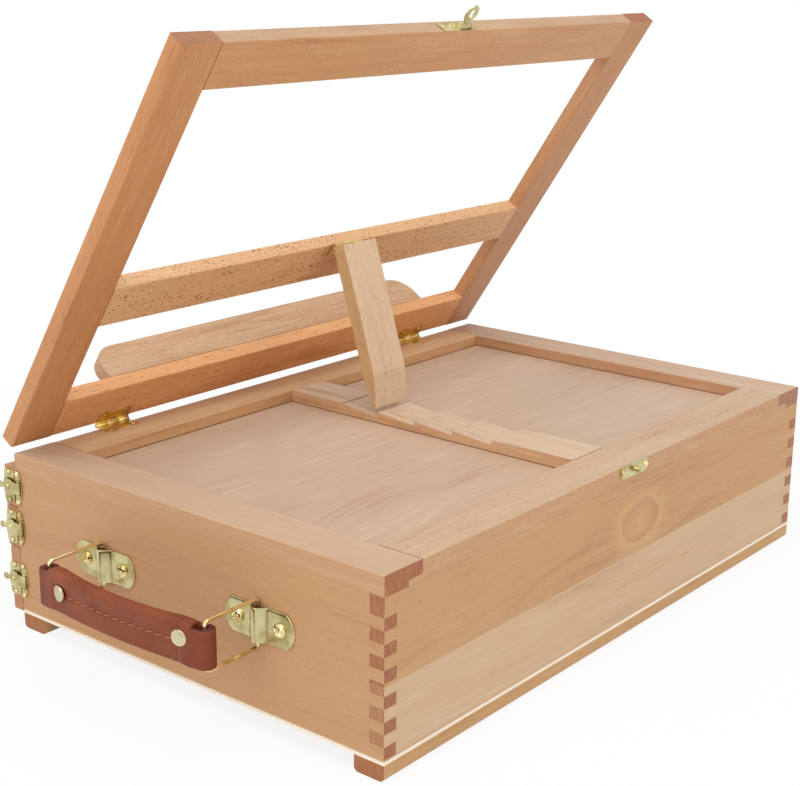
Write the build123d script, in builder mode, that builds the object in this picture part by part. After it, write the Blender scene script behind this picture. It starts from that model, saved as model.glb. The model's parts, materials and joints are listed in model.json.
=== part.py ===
from build123d import *
import math
import os

os.makedirs("parts", exist_ok=True)

# Table easel box: a low case with three drawers, an easel frame hinged on its top and a notched rail
# that takes the foot of the frame's prop. Millimetres. The origin is in the middle of the footprint,
# on the surface the runners stand on. +Z is up, X runs along the long side, the drawers open to +Y and
# the carrying handle is on the -X end. The frame is modelled open, as it stands in use.

# Case
case_length = 450.0
case_depth = 290.0
wall_height = 88.5
wall_t = 9.5
lower_board_height = 40.5
bottom_t = 3.0
runner_height = 9.5
runner_width = 20.0
runner_edge_r = 3.0
finger_height = 7.05
finger_count = 12

# Top
top_t = 11.5
top_rail_width = 29.5
top_recess = 8.0
top_panel_t = 3.2
rabbet_width = 11.0
top_edge_r = 0.8
rack_width = 32.0
notch_pitch = 31.0
notch_depth = 3.0
notch_count = 4
crest_drop = 0.5
cut_over = 1.0

# Drawers
front_t = 12.0
shallow_front_edge_r = 3.0
deep_front_edge_r = 4.5
front_gap = 0.6
front_seat_gap = 0.4
front_rise = 3.0
front_low = 0.5
shallow_front_height = 26.0
drawer_count = 3
drawer_side_t = 6.0
drawer_bottom_t = 3.0
drawer_side_gap = 1.0
drawer_back_gap = 2.5
drawer_floor_gap = 0.3
drawer_top_gap = 0.5
drawer_lift = 1.6
guide_height = 4.0
guide_width = 8.0

# Easel frame
frame_angle = 56.5
frame_t = 10.0
stile_width = 29.0
easel_rail_width = 30.0
middle_rail_low = 92.0
tenon_t = 3.4
tenon_length = 14.0
tenon_shoulder = 5.0
tenon_gap = 0.1
ledge_length = 308.0
ledge_width = 24.5
ledge_t = 9.0
ledge_corner_r = 17.0
easel_edge_r = 0.7

# Prop
prop_lean = 17.5
prop_width = 32.0
prop_t = 10.0
prop_edge_r = 0.7
prop_end_gap = 2.0
foot_clearance = 1.6
foot_back_bevel = 16.0
foot_front_bevel = 22.5
foot_tip_offset = 4.3
foot_tip_flat = 0.8
foot_to_notch = 2.0

# Butterfly hinges
leaf_t = 0.8
case_leaf_reach = 13.0
frame_leaf_reach = 10.8
leaf_waist_depth = 1.6
leaf_flare = 25.4
leaf_ear = 6.5
leaf_ear_side = 1.6
leaf_ear_nip = 1.0
leaf_ear_slope = 2.0
barrel_length = 26.0
knuckle_gap = 0.3
leaf_screw_spacing = 17.6
leaf_screw_inset = 3.6
main_hinge_x = 148.0
main_barrel_r = 1.4
main_pin_r = 0.7
main_axis_out = 2.0
frame_foot_gap = 1.3
prop_barrel_r = 1.4
prop_pin_r = 0.6
pin_gap = 0.05
barrel_sides = 12
small_screw_r = 1.7
small_screw_h = 0.5
keeper_screw_r = 2.1
keeper_screw_h = 1.3
head_sides = 10
head_bevel_share = 0.6

# Catch on the frame's top rail and its keeper
hasp_x = 5.0
hasp_base_left = 21.0
hasp_base_right = 11.0
hasp_base_width = 7.6
hasp_base_t = 0.8
hasp_base_corner_r = 2.0
hasp_barrel_r = 2.0
hasp_pin_r = 0.55
hasp_edge = 2.1
hasp_knuckle = 2.0
hasp_flap_neck = 8.0
hasp_flap_stem = 6.0
hasp_oval_width = 11.0
hasp_oval_length = 12.2
hasp_flap_length = 14.8
hasp_flap_t = 0.9
hasp_eye_reach = 8.9
hasp_eye_width = 4.2
hasp_eye_length = 5.8
hasp_tilt = 3.0
hasp_screw_x = (-17.5, -10.5)
keeper_length = 31.0
keeper_height = 8.4
keeper_t = 0.7
keeper_screw_spacing = 25.0
keeper_stud_r = 1.5
keeper_stud_out = 4.4
keeper_stud_bevel = 0.5

# Drawer latches on the handle end
latch_height = 22.0
latch_base_width = 3.0
latch_base_bulge = 6.3
latch_plate_t = 0.8
latch_axis_back = 3.8
latch_barrel_r = 1.2
latch_pin_r = 0.5
latch_flap_height = 9.6
latch_flap_waist = 7.4
latch_waist_reach = 2.0
latch_flap_reach = 9.0
latch_flap_corner_r = 1.6
latch_tab_height = 3.0
latch_tab_reach = 15.4
latch_tab_overlap = 1.0
latch_knob_r = 2.2
latch_flap_t = 0.8
latch_knuckle = 1.6
latch_dome_r = 1.9
latch_dome_h = 0.9
latch_nub_r = 1.4
latch_nub_gap = 0.2
catch_inner = 1.2
catch_outer = 10.4
catch_height = 21.0
catch_corner_r = 2.4
catch_screw_reach = 5.8
latch_screw_spacing = 17.6
latch_screw_r = 1.9
latch_screw_h = 1.2

# Handle
handle_y = 2.4
handle_drop = 49.3
handle_spacing = 124.0
bracket_length = 51.0
bracket_height = 20.0
bracket_t = 1.2
bracket_end_bulge = 5.5
channel_width = 14.0
channel_top_width = 6.4
channel_height = 4.2
bracket_screw_spacing = 30.8
bracket_screw_r = 4.2
bracket_screw_h = 2.5
wire_r = 1.15
wire_gap = 0.15
wire_axis_out = 1.7
bail_reach = 39.5
bail_height = 27.5
bail_corner_r = 2.5
bail_corner_steps = 2
wire_sides = 12
grip_height = 22.4
grip_waist = 4.8
grip_bow = 9.0
grip_end_r = 5.8
grip_mid_t = 8.5
grip_bore_gap = 0.2
rivet_r = 5.0
rivet_head_t = 1.0
rivet_inset = 14.5

# Levels and faces that follow
wall_foot = runner_height + bottom_t
wall_top = wall_foot + wall_height
case_top = wall_top + top_t
panel_top = case_top - top_recess
half_length = case_length / 2
half_depth = case_depth / 2
front_inner_y = half_depth + front_seat_gap
top_finger = wall_height - (finger_count - 1) * finger_height


def save(shape, node):
    """Label a finished piece and write it as its own file."""
    shape.label = node
    export_step(shape, f"parts/{node}.step")


def step_down(first, height, index):
    """Low and high level of finger number index, counted from the top of a wall."""
    high = wall_top - (0 if index == 0 else first + (index - 1) * height)
    low = wall_top - first - index * height
    return low, high


finger_levels = [step_down(top_finger, finger_height, i) for i in range(finger_count)]
long_wall_fingers = finger_levels[0::2]
end_wall_fingers = finger_levels[1::2]


# Case walls, with finger joints at the two back corners
def back_wall_board(low, high):
    """One of the two boards glued edge to edge into the back wall, cut for the end walls' fingers."""
    with BuildPart() as board:
        with BuildSketch(Plane.XZ.offset(half_depth - wall_t)):
            with Locations((0, (low + high) / 2)):
                Rectangle(case_length, high - low)
            for finger_low, finger_high in end_wall_fingers:
                with Locations((-half_length, (finger_low + finger_high) / 2)):
                    Rectangle(2 * wall_t, finger_high - finger_low, mode=Mode.SUBTRACT)
                with Locations((half_length, (finger_low + finger_high) / 2)):
                    Rectangle(2 * wall_t, finger_high - finger_low, mode=Mode.SUBTRACT)
        extrude(amount=wall_t)
    return board.part


def end_wall(inner_x, outward):
    """An end wall with its fingers at the back edge."""
    with BuildPart() as wall:
        with BuildSketch(Plane.YZ.offset(inner_x)):
            with Locations((0, wall_foot + wall_height / 2)):
                Rectangle(case_depth, wall_height)
            for finger_low, finger_high in long_wall_fingers:
                with Locations((-half_depth, (finger_low + finger_high) / 2)):
                    Rectangle(2 * wall_t, finger_high - finger_low, mode=Mode.SUBTRACT)
        extrude(amount=outward * wall_t)
    return wall.part


board_seam = wall_foot + lower_board_height
save(back_wall_board(board_seam, wall_top), "back_wall_upper_board")
save(back_wall_board(wall_foot, board_seam), "back_wall_lower_board")
save(end_wall(wall_t - half_length, -1), "handle_end_wall")
save(end_wall(half_length - wall_t, 1), "plain_end_wall")

with BuildPart() as bottom_panel:
    with BuildSketch(Plane.XY.offset(runner_height)):
        Rectangle(case_length, case_depth)
    extrude(amount=bottom_t)
save(bottom_panel.part, "bottom_panel")


def runner(side):
    """A foot runner along one long side, with its lower edges rounded."""
    with BuildPart() as strip:
        with BuildSketch():
            with Locations((0, side * (half_depth - runner_width / 2))):
                Rectangle(case_length, runner_width)
        extrude(amount=runner_height)
        fillet(strip.edges().filter_by(Axis.X).group_by(Axis.Z)[0], runner_edge_r)
    return strip.part


save(runner(-1), "back_runner")
save(runner(1), "front_runner")


# Top: rabbeted rails lapped at the corners, a sunk panel and the notched rail
def end_rail(side):
    """A short rail of the top, as deep as the case, with the panel's rabbet along its inner edge."""
    with BuildPart() as rail:
        with BuildSketch(Plane.XY.offset(wall_top)):
            with Locations((side * (half_length - top_rail_width / 2), 0)):
                Rectangle(top_rail_width, case_depth)
        extrude(amount=top_t)
        with BuildSketch(Plane.XY.offset(wall_top)):
            with Locations((side * (half_length - top_rail_width + rabbet_width / 2), 0)):
                Rectangle(rabbet_width, case_depth)
        extrude(amount=top_t - top_recess, mode=Mode.SUBTRACT)
        fillet(rail.edges().filter_by(Axis.Y).group_by(Axis.Z)[-1], top_edge_r)
    return rail.part


def long_rail(side):
    """A long rail of the top. Its lower half runs on under the short rails' rabbets."""
    upper_length = case_length - 2 * top_rail_width
    lower_length = upper_length + 2 * rabbet_width
    rail_y = side * (half_depth - top_rail_width / 2)
    with BuildPart() as rail:
        with BuildSketch(Plane.XY.offset(panel_top)):
            with Locations((0, rail_y)):
                Rectangle(upper_length, top_rail_width)
        extrude(amount=top_recess)
        fillet(rail.edges().filter_by(Axis.X).group_by(Axis.Z)[-1], top_edge_r)
        with BuildSketch(Plane.XY.offset(wall_top)):
            with Locations((0, side * (half_depth - (top_rail_width - rabbet_width) / 2))):
                Rectangle(lower_length, top_rail_width - rabbet_width)
        extrude(amount=top_t - top_recess)
    return rail.part


save(end_rail(-1), "top_end_rail_handle_side")
save(end_rail(1), "top_end_rail_plain_side")
save(long_rail(-1), "top_back_rail")
save(long_rail(1), "top_front_rail")

panel_inset = top_rail_width - rabbet_width
with BuildPart() as top_panel:
    with BuildSketch(Plane.XY.offset(panel_top)):
        Rectangle(case_length - 2 * panel_inset, case_depth - 2 * panel_inset)
    extrude(amount=-top_panel_t)
save(top_panel.part, "top_panel")

# Planes of the open frame. On frame_back, local x is X, local y runs up the frame and local z points
# out of its back, towards the case.
tilt = math.radians(frame_angle)
up_frame = Vector(0, -math.cos(tilt), math.sin(tilt))
out_back = Vector(0, -math.sin(tilt), -math.cos(tilt))
main_axis = Vector(0, half_depth + main_axis_out, case_top + main_barrel_r)
frame_foot = main_axis + up_frame * frame_foot_gap - out_back * main_barrel_r
frame_back = Plane(origin=frame_foot, x_dir=(1, 0, 0), z_dir=out_back)
frame_height = case_depth
window_half = half_length - stile_width
middle_rail_top = middle_rail_low + easel_rail_width
tenon_width = easel_rail_width - 2 * tenon_shoulder

# The prop swings on a hinge at the middle rail's top edge. On prop_side, local x runs down the prop and
# local y points out of the face that lies flush with the frame's back when it is stowed.
lean = math.radians(prop_lean)
down_prop = Vector(0, -math.sin(lean), -math.cos(lean))
out_prop = Vector(1, 0, 0).cross(down_prop)
prop_axis = frame_back.from_local_coords(Vector(0, middle_rail_top + prop_end_gap / 2, prop_barrel_r))
tip_back = prop_barrel_r + foot_tip_offset
tip_level = case_top + foot_clearance
tip_reach = (tip_level - prop_axis.Z + tip_back * out_prop.Z) / down_prop.Z
foot_tip = prop_axis + down_prop * tip_reach - out_prop * tip_back
prop_side = Plane(origin=prop_axis - Vector(prop_width / 2, 0, 0), x_dir=down_prop, z_dir=(1, 0, 0))

first_crest_y = foot_tip.Y - foot_to_notch
rack_half = half_depth - top_rail_width
crest_level = case_top - crest_drop

with BuildPart() as notched_rail:
    with BuildSketch(Plane.XY.offset(panel_top)):
        Rectangle(rack_width, 2 * rack_half)
    extrude(amount=top_recess)
    with BuildSketch(Plane.YZ.offset(-rack_width / 2)):
        for notch in range(notch_count):
            crest_y = first_crest_y - notch * notch_pitch
            valley = (crest_y, crest_level - notch_depth)
            ramp_top = (crest_y + notch_pitch, crest_level)
            with BuildLine():
                Polyline(valley, ramp_top, (ramp_top[0], case_top + cut_over),
                         (crest_y, case_top + cut_over), close=True)
            make_face()
        with BuildLine():
            end_y = first_crest_y - (notch_count - 1) * notch_pitch
            Polyline((end_y, crest_level), (end_y, case_top + cut_over),
                     (end_y - notch_pitch / 2, case_top), close=True)
        make_face()
    extrude(amount=rack_width, mode=Mode.SUBTRACT)
save(notched_rail.part, "notched_rail")


# Drawers
front_top = wall_top + front_rise
front_levels = [
    (front_top - shallow_front_height, front_top),
    (front_top - 2 * shallow_front_height, front_top - shallow_front_height),
    (runner_height + front_low, front_top - 2 * shallow_front_height),
]
front_edge_rs = [shallow_front_edge_r, shallow_front_edge_r, deep_front_edge_r]
inner_half_length = half_length - wall_t
box_half = inner_half_length - drawer_side_gap
box_back_y = wall_t - half_depth + drawer_back_gap
floor_levels = [low + drawer_lift for low, high in front_levels[:-1]] + [wall_foot + drawer_floor_gap]
guide_tops = [level - drawer_floor_gap for level in floor_levels[:-1]]
box_tops = [wall_top - drawer_top_gap] + [top - guide_height - drawer_top_gap for top in guide_tops]


def drawer_front(low, high, edge_r):
    """A drawer front that covers the case's edge, rounded all round its outer face."""
    with BuildPart() as board:
        with BuildSketch(Plane.XZ.offset(-front_inner_y)):
            with Locations((0, (low + high) / 2)):
                Rectangle(case_length, high - low - front_gap)
        extrude(amount=-front_t)
        fillet(board.faces().sort_by(Axis.Y)[-1].edges(), edge_r)
    return board.part


def drawer_sides(floor, top):
    """The two sides and the back of a drawer, standing on its bottom."""
    foot = floor + drawer_bottom_t
    side_length = front_inner_y - box_back_y
    side_y = (front_inner_y + box_back_y) / 2
    with BuildPart() as sides:
        with BuildSketch(Plane.XY.offset(foot)):
            for side in (-1, 1):
                with Locations((side * (box_half - drawer_side_t / 2), side_y)):
                    Rectangle(drawer_side_t, side_length)
        extrude(amount=top - foot)
    with BuildPart() as back:
        with BuildSketch(Plane.XY.offset(foot)):
            with Locations((0, box_back_y + drawer_side_t / 2)):
                Rectangle(2 * (box_half - drawer_side_t), drawer_side_t)
        extrude(amount=top - foot)
    return Compound(list(sides.part.solids()) + list(back.part.solids()))


def drawer_bottom(floor):
    """The thin plywood bottom of a drawer."""
    with BuildPart() as sheet:
        with BuildSketch(Plane.XY.offset(floor)):
            with Locations((0, (front_inner_y + box_back_y) / 2)):
                Rectangle(2 * box_half, front_inner_y - box_back_y)
        extrude(amount=drawer_bottom_t)
    return sheet.part


for number in range(drawer_count):
    name = f"drawer_{number + 1}"
    save(drawer_front(*front_levels[number], front_edge_rs[number]), f"{name}_front")
    save(drawer_sides(floor_levels[number], box_tops[number]), f"{name}_sides")
    save(drawer_bottom(floor_levels[number]), f"{name}_bottom")

with BuildPart() as drawer_guides:
    for guide_top in guide_tops:
        with BuildSketch(Plane.XY.offset(guide_top)):
            for side in (-1, 1):
                with Locations((side * (inner_half_length - guide_width / 2), wall_t / 2)):
                    Rectangle(guide_width, case_depth - wall_t)
        extrude(amount=-guide_height)
save(drawer_guides.part, "drawer_guides")


# Easel frame
def stile(side):
    """An upright of the frame, mortised for the three rails' tenons."""
    with BuildPart() as upright:
        with BuildSketch(frame_back):
            with Locations((side * (half_length - stile_width / 2), frame_height / 2)):
                Rectangle(stile_width, frame_height)
        extrude(amount=-frame_t)
        fillet(upright.edges().filter_by(Axis((0, 0, 0), up_frame)), easel_edge_r)
        with BuildSketch(frame_back.offset((tenon_t - frame_t) / 2 + tenon_gap)):
            for low in (0, middle_rail_low, frame_height - easel_rail_width):
                with Locations((side * (window_half + tenon_length / 2), low + easel_rail_width / 2)):
                    Rectangle(tenon_length + tenon_gap, tenon_width + 2 * tenon_gap)
        extrude(amount=-tenon_t - 2 * tenon_gap, mode=Mode.SUBTRACT)
    return upright.part


def easel_rail(low):
    """A cross rail of the frame with a tenon at each end."""
    middle = (0, low + easel_rail_width / 2)
    with BuildPart() as rail:
        with BuildSketch(frame_back):
            with Locations(middle):
                Rectangle(2 * window_half, easel_rail_width)
        extrude(amount=-frame_t)
        fillet(rail.edges().filter_by(Axis.X), easel_edge_r)
        with BuildSketch(frame_back.offset((tenon_t - frame_t) / 2)):
            with Locations(middle):
                Rectangle(2 * (window_half + tenon_length - tenon_gap), tenon_width)
        extrude(amount=-tenon_t)
    return rail.part


save(stile(-1), "easel_stile_handle_side")
save(stile(1), "easel_stile_plain_side")
save(easel_rail(0), "easel_bottom_rail")
save(easel_rail(middle_rail_low), "easel_middle_rail")
save(easel_rail(frame_height - easel_rail_width), "easel_top_rail")

ledge_seat = frame_back.from_local_coords(Vector(0, easel_rail_width, -frame_t))
ledge_top = Plane(origin=ledge_seat, x_dir=(1, 0, 0), z_dir=up_frame)
with BuildPart() as canvas_ledge:
    with BuildSketch(ledge_top):
        with Locations((0, ledge_width / 2)):
            board = Rectangle(ledge_length, ledge_width)
        fillet(board.vertices().group_by(Axis.Y)[-1], ledge_corner_r)
    extrude(amount=-ledge_t)
save(canvas_ledge.part, "canvas_ledge")

with BuildPart() as prop_leg:
    face_t = -prop_barrel_r
    with BuildSketch(prop_side):
        with BuildLine():
            Polyline(
                (prop_end_gap / 2, face_t),
                (tip_reach - foot_back_bevel, face_t),
                (tip_reach, -tip_back + foot_tip_flat / 2),
                (tip_reach, -tip_back - foot_tip_flat / 2),
                (tip_reach - foot_front_bevel, face_t - prop_t),
                (prop_end_gap / 2, face_t - prop_t),
                close=True,
            )
        make_face()
    extrude(amount=prop_width)
    fillet(prop_leg.edges().filter_by(lambda edge: abs(edge.tangent_at(0.5).dot(down_prop)) > 0.999),
           prop_edge_r)
save(prop_leg.part, "prop_leg")


# Butterfly hinges. In a hinge's own plane the pin lies along x, the wood is a barrel radius below and
# the leaf reaches towards -y. Barrels and pins are many-sided, which keeps these small rods light.
def knuckle_spans(outer):
    """Where a leaf's knuckles lie along the pin: the two outer thirds or the middle one."""
    third = barrel_length / 3
    if outer:
        return [(-1.5 * third, -0.5 * third - knuckle_gap), (0.5 * third + knuckle_gap, 1.5 * third)]
    return [(-0.5 * third, 0.5 * third)]


def butterfly_leaf(place, reach, barrel_r, pin_r, outer):
    """One leaf with its two ears and rolled knuckles."""
    root = barrel_r + knuckle_gap
    waist = reach - leaf_waist_depth
    wood = place.offset(-barrel_r)
    with BuildPart() as leaf:
        with BuildSketch(wood):
            with BuildLine():
                half_outline = Polyline(
                    (0, -root),
                    (barrel_length / 2, -root),
                    (leaf_flare / 2, -reach + leaf_ear_side),
                    (leaf_flare / 2 - leaf_ear_nip, -reach),
                    (leaf_flare / 2 - leaf_ear, -reach),
                    (leaf_flare / 2 - leaf_ear - leaf_ear_slope, -waist),
                    (0, -waist),
                )
                mirror(half_outline, about=Plane.YZ)
            make_face()
            for start, end in knuckle_spans(outer):
                with Locations(((start + end) / 2, -root / 2)):
                    Rectangle(end - start, root)
        extrude(amount=leaf_t)
        for start, end in knuckle_spans(outer):
            end_plane = Plane(origin=place.from_local_coords(Vector(start, 0, 0)), z_dir=place.x_dir)
            with BuildSketch(end_plane):
                RegularPolygon(barrel_r, barrel_sides)
            extrude(amount=end - start)
        bore_start = place.from_local_coords(Vector(-barrel_length, 0, 0))
        with BuildSketch(Plane(origin=bore_start, z_dir=place.x_dir)):
            RegularPolygon(pin_r + pin_gap, barrel_sides)
        extrude(amount=2 * barrel_length, mode=Mode.SUBTRACT)
    return leaf.part


def hinge_pin(place, pin_r):
    """The pin of a hinge, a little longer than its barrel."""
    start = Plane(origin=place.from_local_coords(Vector(-barrel_length / 2 - pin_r / 2, 0, 0)),
                  z_dir=place.x_dir)
    with BuildPart() as pin:
        with BuildSketch(start):
            RegularPolygon(pin_r, barrel_sides)
        extrude(amount=barrel_length + pin_r)
    return pin.part


def dome(place, radius, height, seat):
    """A low many-sided dome with a bevelled rim, its seat a plate's thickness above the place."""
    with BuildPart() as head:
        with BuildSketch(place.offset(seat)):
            RegularPolygon(radius, head_sides)
        extrude(amount=height)
        top_face = max(head.faces(), key=lambda face: (face.center() - place.origin).dot(place.z_dir))
        chamfer(top_face.edges(), height * head_bevel_share)
    return head.part


def dome_heads(planes, radius, height, seat):
    """Domed heads, one on each plane."""
    return [dome(place, radius, height, seat) for place in planes]


def shifted(place, x, y, z):
    """The same plane moved in its own coordinates."""
    return Plane(origin=place.from_local_coords(Vector(x, y, z)), x_dir=place.x_dir, z_dir=place.z_dir)


def leaf_screw_planes(place, reach, barrel_r):
    """The two screw places of a leaf, in its ears, on the wood's surface."""
    return [shifted(place, side * leaf_screw_spacing / 2, leaf_screw_inset - reach, -barrel_r)
            for side in (-1, 1)]


case_hinge_places = []
easel_hinge_places = []
for side in (-1, 1):
    axis_point = main_axis + Vector(side * main_hinge_x, 0, 0)
    case_hinge_places.append(Plane(origin=axis_point, x_dir=(1, 0, 0), z_dir=(0, 0, 1)))
    easel_hinge_places.append(Plane(origin=axis_point, x_dir=(-1, 0, 0), z_dir=out_back))
prop_rail_place = Plane(origin=prop_axis, x_dir=(1, 0, 0), z_dir=out_back)
prop_leg_place = Plane(origin=prop_axis, x_dir=(-1, 0, 0), z_dir=out_prop)

save(Compound([butterfly_leaf(place, case_leaf_reach, main_barrel_r, main_pin_r, False)
               for place in case_hinge_places]), "case_hinge_leaves")
save(Compound([butterfly_leaf(place, frame_leaf_reach, main_barrel_r, main_pin_r, True)
               for place in easel_hinge_places]), "easel_hinge_leaves")
save(Compound([hinge_pin(p, main_pin_r) for p in case_hinge_places]), "case_hinge_pins")
save(butterfly_leaf(prop_rail_place, frame_leaf_reach, prop_barrel_r, prop_pin_r, False),
     "prop_hinge_rail_leaf")
save(butterfly_leaf(prop_leg_place, frame_leaf_reach, prop_barrel_r, prop_pin_r, True),
     "prop_hinge_leg_leaf")
save(hinge_pin(prop_rail_place, prop_pin_r), "prop_hinge_pin")
prop_leg_screw_planes = leaf_screw_planes(prop_leg_place, frame_leaf_reach, prop_barrel_r)
save(Compound(dome_heads(prop_leg_screw_planes, small_screw_r, small_screw_h, leaf_t)),
     "prop_leg_screws")


# Catch at the middle of the frame's top rail. On hasp_place, local x is X, local y points to the canvas
# side and local z points out of the rail's upper edge.
hasp_place = Plane(
    origin=frame_back.from_local_coords(Vector(hasp_x, frame_height, -hasp_edge)),
    x_dir=(1, 0, 0),
    z_dir=up_frame,
)
hasp_axis = shifted(hasp_place, 0, 0, hasp_barrel_r)
flap_half = hasp_flap_neck / 2

with BuildPart() as hasp_base:
    with BuildSketch(hasp_place):
        with Locations(((hasp_base_right - hasp_base_left) / 2, hasp_base_width / 2 - hasp_barrel_r)):
            RectangleRounded(hasp_base_left + hasp_base_right, hasp_base_width, hasp_base_corner_r)
    extrude(amount=hasp_base_t)
    for start in (-flap_half - knuckle_gap - hasp_knuckle, flap_half + knuckle_gap):
        knuckle_plane = Plane(origin=hasp_axis.from_local_coords(Vector(start, 0, 0)), z_dir=(1, 0, 0))
        with BuildSketch(knuckle_plane):
            RegularPolygon(hasp_barrel_r, barrel_sides)
        extrude(amount=hasp_knuckle)
    pin_half = flap_half + knuckle_gap + hasp_knuckle
    pin_start = hasp_axis.from_local_coords(Vector(-pin_half, 0, 0))
    with BuildSketch(Plane(origin=pin_start, z_dir=(1, 0, 0))):
        RegularPolygon(hasp_pin_r, barrel_sides)
    extrude(amount=2 * pin_half)
    with BuildSketch(hasp_place):
        Rectangle(hasp_flap_neck + 2 * knuckle_gap, 2 * hasp_barrel_r + 2 * knuckle_gap)
    extrude(amount=hasp_base_t, mode=Mode.SUBTRACT)
save(hasp_base.part, "hasp_base")

flap_tilt = math.radians(hasp_tilt)
flap_dir = up_frame * math.cos(flap_tilt) + out_back * math.sin(flap_tilt)
flap_plane = Plane(origin=hasp_axis.origin, x_dir=(1, 0, 0), z_dir=Vector(1, 0, 0).cross(flap_dir))
with BuildPart() as hasp_flap:
    with BuildSketch(flap_plane.offset(-hasp_flap_t / 2)):
        with Locations((0, hasp_flap_length / 4)):
            Rectangle(hasp_flap_stem, hasp_flap_length / 2)
        with Locations((0, hasp_flap_length - hasp_oval_length / 2)):
            Ellipse(hasp_oval_width / 2, hasp_oval_length / 2)
        with Locations((0, hasp_eye_reach)):
            SlotOverall(hasp_eye_length, hasp_eye_width, rotation=90, mode=Mode.SUBTRACT)
    extrude(amount=hasp_flap_t)
    barrel_end = Plane(origin=hasp_axis.from_local_coords(Vector(-flap_half, 0, 0)), z_dir=(1, 0, 0))
    with BuildSketch(barrel_end):
        RegularPolygon(hasp_barrel_r, barrel_sides)
    extrude(amount=hasp_flap_neck)
    with BuildSketch(barrel_end):
        RegularPolygon(hasp_pin_r + pin_gap, barrel_sides)
    extrude(amount=hasp_flap_neck, mode=Mode.SUBTRACT)
save(hasp_flap.part, "hasp_flap")

keeper_level = case_top + 2 * main_barrel_r + hasp_edge - hasp_eye_reach
keeper_place = Plane(origin=(hasp_x, -half_depth, keeper_level), x_dir=(1, 0, 0), z_dir=(0, -1, 0))
with BuildPart() as hasp_keeper:
    with BuildSketch(keeper_place):
        SlotOverall(keeper_length, keeper_height)
    extrude(amount=keeper_t)
    with BuildSketch(keeper_place):
        Circle(keeper_stud_r)
    extrude(amount=keeper_stud_out)
    chamfer(hasp_keeper.faces().sort_by(Axis.Y)[0].edges(), keeper_stud_bevel)
save(hasp_keeper.part, "hasp_keeper")

hasp_screw_planes = [shifted(hasp_place, x, hasp_base_width / 4, 0) for x in hasp_screw_x]
keeper_screw_planes = [shifted(keeper_place, side * keeper_screw_spacing / 2, 0, 0) for side in (-1, 1)]
easel_screws = dome_heads(hasp_screw_planes, small_screw_r, small_screw_h, hasp_base_t)
easel_screws += dome_heads(leaf_screw_planes(prop_rail_place, frame_leaf_reach, prop_barrel_r),
                           small_screw_r, small_screw_h, leaf_t)
for place in easel_hinge_places:
    easel_screws += dome_heads(leaf_screw_planes(place, frame_leaf_reach, main_barrel_r),
                               small_screw_r, small_screw_h, leaf_t)
save(Compound(easel_screws), "easel_screws")


# Drawer latches. On a latch's plane the origin is at the end wall's front edge, local x is Y and
# local z points out of the end.
def latch_place(low, high):
    """The plane of the latch that holds the drawer front between two levels."""
    return Plane(origin=(-half_length, half_depth, (low + high) / 2), x_dir=(0, 1, 0), z_dir=(-1, 0, 0))


def latch_barrel(place, start, length, radius):
    """A sketch plane and length for a piece of barrel that runs along the latch's upright pin."""
    origin = place.from_local_coords(Vector(-latch_axis_back, start, latch_barrel_r))
    with BuildSketch(Plane(origin=origin, z_dir=place.y_dir)) as disc:
        RegularPolygon(radius, barrel_sides)
    return extrude(disc.sketch, amount=length, mode=Mode.PRIVATE)


def latch_base(place):
    """The curved plate on the end wall, with the pin that the flap turns on."""
    half = latch_flap_waist / 2 + knuckle_gap
    with BuildPart() as base:
        with BuildSketch(place):
            with BuildLine():
                Polyline(
                    (-latch_base_width, latch_height / 2),
                    (-knuckle_gap, latch_height / 2),
                    (-knuckle_gap, -latch_height / 2),
                    (-latch_base_width, -latch_height / 2),
                )
                ThreePointArc((-latch_base_width, -latch_height / 2), (-latch_base_bulge, 0),
                              (-latch_base_width, latch_height / 2))
            make_face()
        extrude(amount=latch_plate_t)
        add(latch_barrel(place, half, latch_knuckle, latch_barrel_r))
        add(latch_barrel(place, -half - latch_knuckle, latch_knuckle, latch_barrel_r))
        with BuildSketch(place):
            with Locations((-latch_axis_back, 0)):
                Rectangle(2 * latch_barrel_r + 2 * knuckle_gap, 2 * half)
        extrude(amount=latch_plate_t, mode=Mode.SUBTRACT)
        add(latch_barrel(place, -half, 2 * half, latch_pin_r))
    return base.part


def latch_flap(place):
    """The flap with its narrow root, domed pad and knobbed finger tab."""
    half = latch_flap_waist / 2
    top = 2 * latch_barrel_r
    with BuildPart() as flap:
        with BuildSketch(place.offset(top - latch_flap_t)):
            with Locations((latch_waist_reach - latch_axis_back / 2, 0)):
                Rectangle(latch_axis_back + 2 * latch_waist_reach, latch_flap_waist)
            with Locations(((latch_waist_reach + latch_flap_reach) / 2, 0)):
                RectangleRounded(latch_flap_reach - latch_waist_reach, latch_flap_height,
                                 latch_flap_corner_r)
            tab_start = latch_flap_reach - latch_tab_overlap
            tab_end = latch_tab_reach - latch_knob_r
            with Locations(((tab_start + tab_end) / 2, 0)):
                Rectangle(tab_end - tab_start, latch_tab_height)
            with Locations((tab_end, 0)):
                RegularPolygon(latch_knob_r, head_sides)
        extrude(amount=latch_flap_t)
        add(latch_barrel(place, -half, latch_flap_waist, latch_barrel_r))
        add(latch_barrel(place, -half, latch_flap_waist, latch_pin_r + pin_gap), mode=Mode.SUBTRACT)
        add(dome(shifted(place, catch_screw_reach, 0, 0), latch_dome_r, latch_dome_h, top))
    return flap.part


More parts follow.
